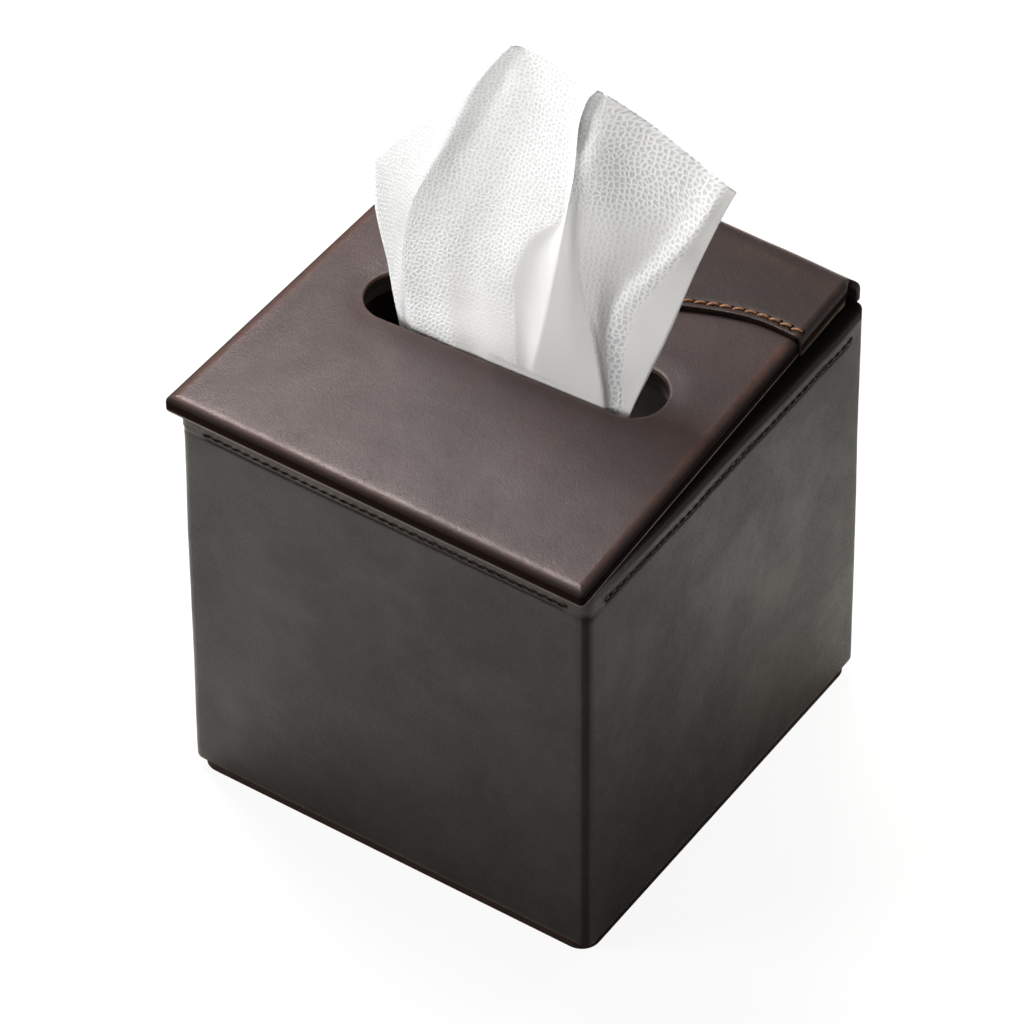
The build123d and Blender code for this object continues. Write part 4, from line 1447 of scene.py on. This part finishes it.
# %% Two plies thick
paper_normals = grid_normals(sheet_grid.transpose(1, 0, 2)).transpose(1, 0, 2)
if paper_normals[behind_count + 20, TALL // 2, 1] > 0:
    paper_normals = -paper_normals
ripple = 0.14 * waves(sheet_grid, 20, 31) + 0.03 * waves(sheet_grid, 7, 32)
ripple *= smooth_step(sheet_grid[..., 2], 150, 175)
full_crisp = np.concatenate([np.zeros((behind_count, TALL)), crisp])
sheet_grid = sheet_grid + paper_normals * (ripple * (1 - 0.6 * full_crisp))[..., None]
in_slot = smooth_step(-sheet_grid[..., 2], -163, -158)
lowest_y = SLOT_Y - SLOT_RADIUS + 0.7 + math.tan(SLOT_TURN) * sheet_grid[..., 0]
lowest_y = lowest_y * in_slot - 40 * (1 - in_slot)
held_back = np.maximum(sheet_grid[..., 1], lowest_y)
sheet_grid[..., 1] = np.where(in_slot > 0, held_back, sheet_grid[..., 1])
PLIES = 0.4
wide, tall = sheet_grid.shape[:2]
front_face = sheet_grid + paper_normals * PLIES / 2
rear_face = sheet_grid - paper_normals * PLIES / 2

print(f"the paper is {PLIES} mm thick on a grid of {wide} by {tall}")

# %% Where the paper is embossed
# embossed where the photograph's paper is, smooth along the folds that were pressed
place_u = np.concatenate([np.full(behind_count, -1.0), fold_place])[:, None]
height_up = sheet_grid[..., 2]
number = {name: i for i, name in enumerate(names)}


def between(low, high, soft):
    a, b = number[low], number[high]
    past_b = smooth_step(place_u, b - soft, b + soft)
    return smooth_step(place_u, a - soft, a + soft) * (1 - past_b)


embossed = np.ones_like(height_up)
for low, high, soft, depth, smooth_below, patterned_above in (
    ("first_gather", "arch", 0.3, 0.75, 166, 186),
    ("arch", "long_ridge", 0.12, 0.9, 207, 214),
    ("long_ridge", "cone_side", 0.12, 0.95, 214, 226),
    ("cone_side", "pleat_hollow", 0.3, 0.6, 210, 226),
):
    smooth_part = 1 - smooth_step(height_up, smooth_below, patterned_above)
    embossed -= depth * between(low, high, soft) * smooth_part
pleat = number["pleat_ridge"]
embossed -= 0.92 * smooth_step(place_u, pleat + 0.35, pleat + 0.6)
embossed = np.clip(embossed, 0, 1)
cone_side = number["cone_side"]
coarse = smooth_step(place_u, cone_side - 0.1, cone_side + 0.4) + 0 * height_up
tissue = piece(
    "standing_tissue",
    np.concatenate([face.reshape(-1, 3) for face in (front_face, rear_face)]),
    np.concatenate(two_sided_faces(wide, tall)),
    [],
    "lid",
    attributes={
        "emboss": np.concatenate([embossed.ravel()] * 2),
        "coarse": np.concatenate([coarse.ravel()] * 2),
    },
)

# %% The paper's own map
# the pattern follows the paper, so its UV map is the paper's own width and height in mm
step_across = np.linalg.norm(np.diff(sheet_grid, axis=0), axis=2)
step_up = np.linalg.norm(np.diff(sheet_grid, axis=1), axis=2)
u_mm = np.concatenate([np.zeros((1, tall)), np.cumsum(step_across, axis=0)])
u_mm -= u_mm[behind_count + int(np.searchsorted(fold_place, number["long_ridge"]))][None, :]
v_mm = np.concatenate([np.zeros((wide, 1)), np.cumsum(step_up, axis=1)], axis=1)
flat_uv = np.tile(np.column_stack([u_mm.ravel(), v_mm.ravel()]), (2, 1))
PAPER_MAP = 200  # millimetres of paper across the whole map
uv = tissue.data.uv_layers.new(name="paper")
corner_vertex = np.empty(len(tissue.data.loops), np.int32)
tissue.data.loops.foreach_get("vertex_index", corner_vertex)
flat_uv = flat_uv[corner_vertex] / PAPER_MAP + 0.5
uv.data.foreach_set("uv", flat_uv.astype(np.float32).ravel())
area = sum(p.area for p in tissue.data.polygons) / 2
print(f"paper above the tail: {area * 1e6:.0f} square mm")

# %% [markdown]
# ### Tissue paper
#
# Soft tissue is embossed: raised lines round small cells hold its plies together. Light
# gets into the paper a little, so it never looks chalky. The cells follow the paper's own UV
# map in millimetres. The "emboss" value fades them where the paper was pressed smooth, and
# the "coarse" value brings larger cells to the panel on the right. The hollows of the cells
# are painted grey, painted shade, and darker still in the large cells.


# %% Tissue finish
NET_EDGE = (0.07, 0.31)  # a cell's raised line and its hollow, as distance from its border


def paper_finish(s, colour, normal):
    return s.surface(
        Base_Color=colour,
        Normal=normal,
        Roughness=0.9,
        Specular_IOR_Level=0.15,
        Sheen_Weight=0.1,
        Subsurface_Weight=0.35,
        Subsurface_Radius=(1.0, 1.0, 1.0),
        Subsurface_Scale=0.002,
    )


def embossed_paper():
    s = Shader("embossed_tissue")
    white, pressed = (0.90, 0.90, 0.90), (0.82, 0.81, 0.80)
    # the hollows' greys are painted shade in the cells, darker in the large ones
    fine_hollow_shade, large_hollow_shade = (0.66, 0.665, 0.675), (0.53, 0.535, 0.545)
    paper_map = s.add("ShaderNodeUVMap", settings={"uv_map": "paper"})
    where = s.mapped(paper_map.outputs["UV"], Scale=(PAPER_MAP, PAPER_MAP, PAPER_MAP))

    def net(size, seed):
        settings = {"feature": "DISTANCE_TO_EDGE", "voronoi_dimensions": "2D"}
        sizes = {"Scale": 1 / size, "Randomness": 0.72}
        moved = s.mapped(where, Location=(seed, seed, 0))
        node = s.add("ShaderNodeTexVoronoi", settings=settings, Vector=moved, **sizes)
        return s.span(node.outputs["Distance"], *NET_EDGE, soft=True)

    kind, emboss = s.attribute("coarse"), s.attribute("emboss")
    mixed = s.add("ShaderNodeMix", kind, settings={"data_type": "FLOAT"})
    put(s.tree, mixed.inputs[2], net(1.55, 3.0))
    put(s.tree, mixed.inputs[3], net(1.85, 9.0))
    cell = s.math("MULTIPLY", mixed.outputs[0], emboss)
    fibre = s.add("ShaderNodeTexNoise", Vector=where, Scale=2.2, Detail=5).outputs["Fac"]
    fuzzy = s.math("MULTIPLY", cell, s.span(fibre, 0.3, 0.7, 0.55, 1.0))
    colour = s.mix(fuzzy, white, s.mix(kind, fine_hollow_shade, large_hollow_shade))
    normal = s.bump(s.math("MULTIPLY", cell, -1.0), 0.18, 0.65)
    return paper_finish(s, s.mix(emboss, pressed, colour), s.bump(fibre, 0.04, 0.5, normal))


def paper_in_painted_shade():
    s = Shader("tissue_in_painted_shade")
    fibre = s.noise(0.6, 5, 0.65)
    # grey, not white: painted shade, for the folded paper lies in the dark inside the box
    colour = s.mix(s.span(fibre, 0.35, 0.7), (0.62, 0.61, 0.60), (0.52, 0.51, 0.50))
    return paper_finish(s, colour, s.bump(fibre, 0.06, 0.5))


tissue.data.materials.append(embossed_paper())
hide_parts("tissue_sheet")

# %% [markdown]
# ## The tissues in the box
#
# Under the slot lies the folded stack. Its layers show at the sides as soft lines, and on
# top one fold lies over half the stack, where the next sheet begins. It is a closed shell of
# rings, one small bulge for each fold.

# %% Stack of folded tissues
stack_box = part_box("tissue_stack")
stack_low, stack_high = stack_box[0][2] / MM, stack_box[1][2] / MM
stack_half = stack_box[1][0] / MM
LAYERS = 44
TOP_ROUND = 1.6
rng = np.random.default_rng(8)
layer = (stack_high - TOP_ROUND - stack_low) / LAYERS
stack_rings = []


def soft_square(half, corner, z, count=26, arc_steps=8):
    """A rounded square at a height, from the start of its right side round."""
    even = np.linspace(-1, 1, count)
    loop = rounded_loop((-half, -half), (half, half), corner, [even] * 4, arc_steps)
    loop = np.roll(loop, -(count + arc_steps - 2), axis=0)
    return np.column_stack([loop, np.full(len(loop), z)])


stack_rings.append(soft_square(stack_half * 0.5, 6, stack_low))
for k in range(LAYERS):
    shift = rng.normal(0, 0.22, 2)
    squeeze = rng.uniform(0.0, 0.5)
    for share, inset in ((0.08, 0.75), (0.3, 0.18), (0.5, 0.0), (0.7, 0.18), (0.92, 0.75)):
        half = stack_half - 0.35 - inset - squeeze
        loop = soft_square(half, 4, stack_low + (k + share) * layer)
        loop[:, :2] += shift
        stack_rings.append(loop)
for inset in (TOP_ROUND, 4, 9, 16, 26, 38, 50):
    loop = soft_square(stack_half - inset, max(4 - inset * 0.1, 0.8), stack_high - TOP_ROUND)
    loop[:, 2] += 0.25 * waves(loop, 30, 41)
    stack_rings.append(loop)
stack_points = np.array(stack_rings)
ring_count, ring_size = stack_points.shape[:2]
stack_faces = [tuple(f) for f in grid_faces(ring_count, ring_size, False, True)]
stack_faces.append(tuple(range(ring_size))[::-1])
stack_faces.append(tuple((ring_count - 1) * ring_size + i for i in range(ring_size)))
tissue_in_painted_shade = paper_in_painted_shade()
pile = piece("folded_tissues", stack_points, stack_faces, [tissue_in_painted_shade], "box")
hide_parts("tissue_stack")

# %% Top fold of the stack
fold_x = np.linspace(-stack_half + 1.2, stack_half - 1.2, 60)
fold_y = np.linspace(-3.0, stack_half - 1.5, 34)
gx, gy = np.meshgrid(fold_x, fold_y, indexing="ij")
lifted = 0.75 * bell(gy + 3.0, 7) * (0.5 + 0.5 * np.cos(gx / 15.0))
top_fold = np.stack([gx, gy, stack_high - 1.15 + lifted], -1)
top_fold[..., 1] += 0.9 * np.sin(gx / 21.0) * bell(gy + 3.0, 9)
top_fold[..., 2] += 0.12 * waves(top_fold, 22, 43)
under_fold = top_fold.copy()
under_fold[..., 2] -= 0.42
top_sheet = piece(
    "top_fold",
    np.concatenate([top_fold.reshape(-1, 3), under_fold.reshape(-1, 3)]),
    np.concatenate(two_sided_faces(*gx.shape)),
    [tissue_in_painted_shade],
    "box",
)

# %% [markdown]
# ## Light and floor
#
# The photograph is a plain studio shot: a white floor that fades into a white ground, one
# large soft light from behind on the left, and soft light from the front left for the
# paper. Those give the tones but aren't mirrored in the wax. The pale sheen on the lid is a
# lamp of its own, the line along the lid's front edge another, and a small strip behind the
# right rear edge lifts the far end of the right wall. The floor looks white by its own
# colour to the camera only. For the box it is an ordinary pale floor that keeps its shadow,
# and the walls mirror that.


# %% Lamps
def softbox(name, place, aim, size, power, tint=(1, 1, 1), in_gloss=True):
    lamp = bpy.data.lights.new(name, "AREA")
    lamp.shape = "RECTANGLE"
    lamp.size, lamp.size_y = size
    lamp.energy = power
    lamp.color = tint
    obj = link_new(name, lamp)
    obj.location = place
    toward = Vector(aim) - Vector(place)
    obj.rotation_euler = toward.to_track_quat("-Z", "Y").to_euler()
    obj.visible_camera = False
    obj.visible_glossy = in_gloss


# place, aim, size, power, tint
lamps = {
    "key_light": ((-0.75, 1.15, 1.15), (0, 0, 0.08), (0.6, 0.6), 17.3, (1.0, 0.955, 0.89)),
    "back_light": ((-0.20, 1.50, 1.20), (0, 0, 0.10), (0.7, 0.7), 3.7, (1.0, 0.96, 0.90)),
    "front_light": ((-1.25, -1.30, 0.58), (0, 0, 0.17), (0.9, 0.9), 26.0, (1.0, 0.995, 0.98)),
    "fill_light": ((0.10, -1.60, 0.60), (0, 0, 0.17), (0.8, 0.8), 3.0, (1.0, 0.99, 0.97)),
    "right_light": (
        (0.12, 0.14, 0.09), (0.07, 0.05, 0.09), (0.02, 0.12), 0.11, (1.0, 0.92, 0.82)
    ),
    "sheen_light": ((-0.215, 0.085, 0.56), (0, -0.06, 0.156), (0.20, 0.20), 2.5),
    "edge_light": ((-0.19, -0.02, 0.56), (0, -0.07, 0.156), (0.05, 0.30), 0.80),
}
for name, settings in lamps.items():
    softbox(name, *settings, in_gloss=name in ("sheen_light", "edge_light"))
print("lamps:", ", ".join(lamps))


# %% World and floor
def shown_or_lit(tree, in_gloss, lit, shown):
    """A shader that is shown to the camera, in part in a gloss, and lights all else as lit."""
    rays = add_node(tree, "ShaderNodeLightPath").outputs
    times = {"operation": "MULTIPLY"}
    share = add_node(tree, "ShaderNodeMath", rays["Is Glossy Ray"], in_gloss, settings=times)
    for ray in ("Is Camera Ray", "Is Transmission Ray"):
        most = {"operation": "MAXIMUM"}
        share = add_node(tree, "ShaderNodeMath", share.outputs[0], rays[ray], settings=most)
    parts = (share, lit, shown)
    return add_node(tree, "ShaderNodeMixShader", *(part.outputs[0] for part in parts))


world = bpy.data.worlds.new("studio")
bpy.context.scene.world = world
tree = bare_tree(world)
ambient = add_node(tree, "ShaderNodeBackground", Color=(0.97, 0.98, 1.0, 1), Strength=0.08)
white = add_node(tree, "ShaderNodeBackground", Color=(1, 1, 1, 1))
sky = shown_or_lit(tree, 0.2, ambient, white)
add_node(tree, "ShaderNodeOutputWorld", Surface=sky.outputs[0])

floor_mesh = bpy.data.meshes.new("floor")
reach = 6.0
corners = [(x * reach, y * reach, 0) for x, y in ((-1, -1), (1, -1), (1, 1), (-1, 1))]
floor_mesh.from_pydata(corners, [], [(0, 1, 2, 3)])
floor = link_new("floor", floor_mesh)
floor_finish = bpy.data.materials.new("white_floor")
tree = bare_tree(floor_finish)
lit = add_node(tree, "ShaderNodeBsdfDiffuse", Color=(0.85, 0.85, 0.85, 1))
shade = add_node(tree, "ShaderNodeBsdfDiffuse", Color=(0.16, 0.16, 0.16, 1))
glow = add_node(tree, "ShaderNodeEmission", Strength=0.90)
seen = add_node(tree, "ShaderNodeAddShader", shade.outputs[0], glow.outputs[0])
ground = shown_or_lit(tree, 0.0, lit, seen)
add_node(tree, "ShaderNodeOutputMaterial", Surface=ground.outputs[0])
floor_mesh.materials.append(floor_finish)
floor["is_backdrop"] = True
print("the floor is", 2 * reach, "m wide")

# %% Colours as they are
bpy.context.scene.view_settings.view_transform = "Standard"
visual_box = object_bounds()
for name, corners in (("solid", cad_box), ("dressed", visual_box)):
    print(name, [[round(x, 4) for x in c] for c in corners])
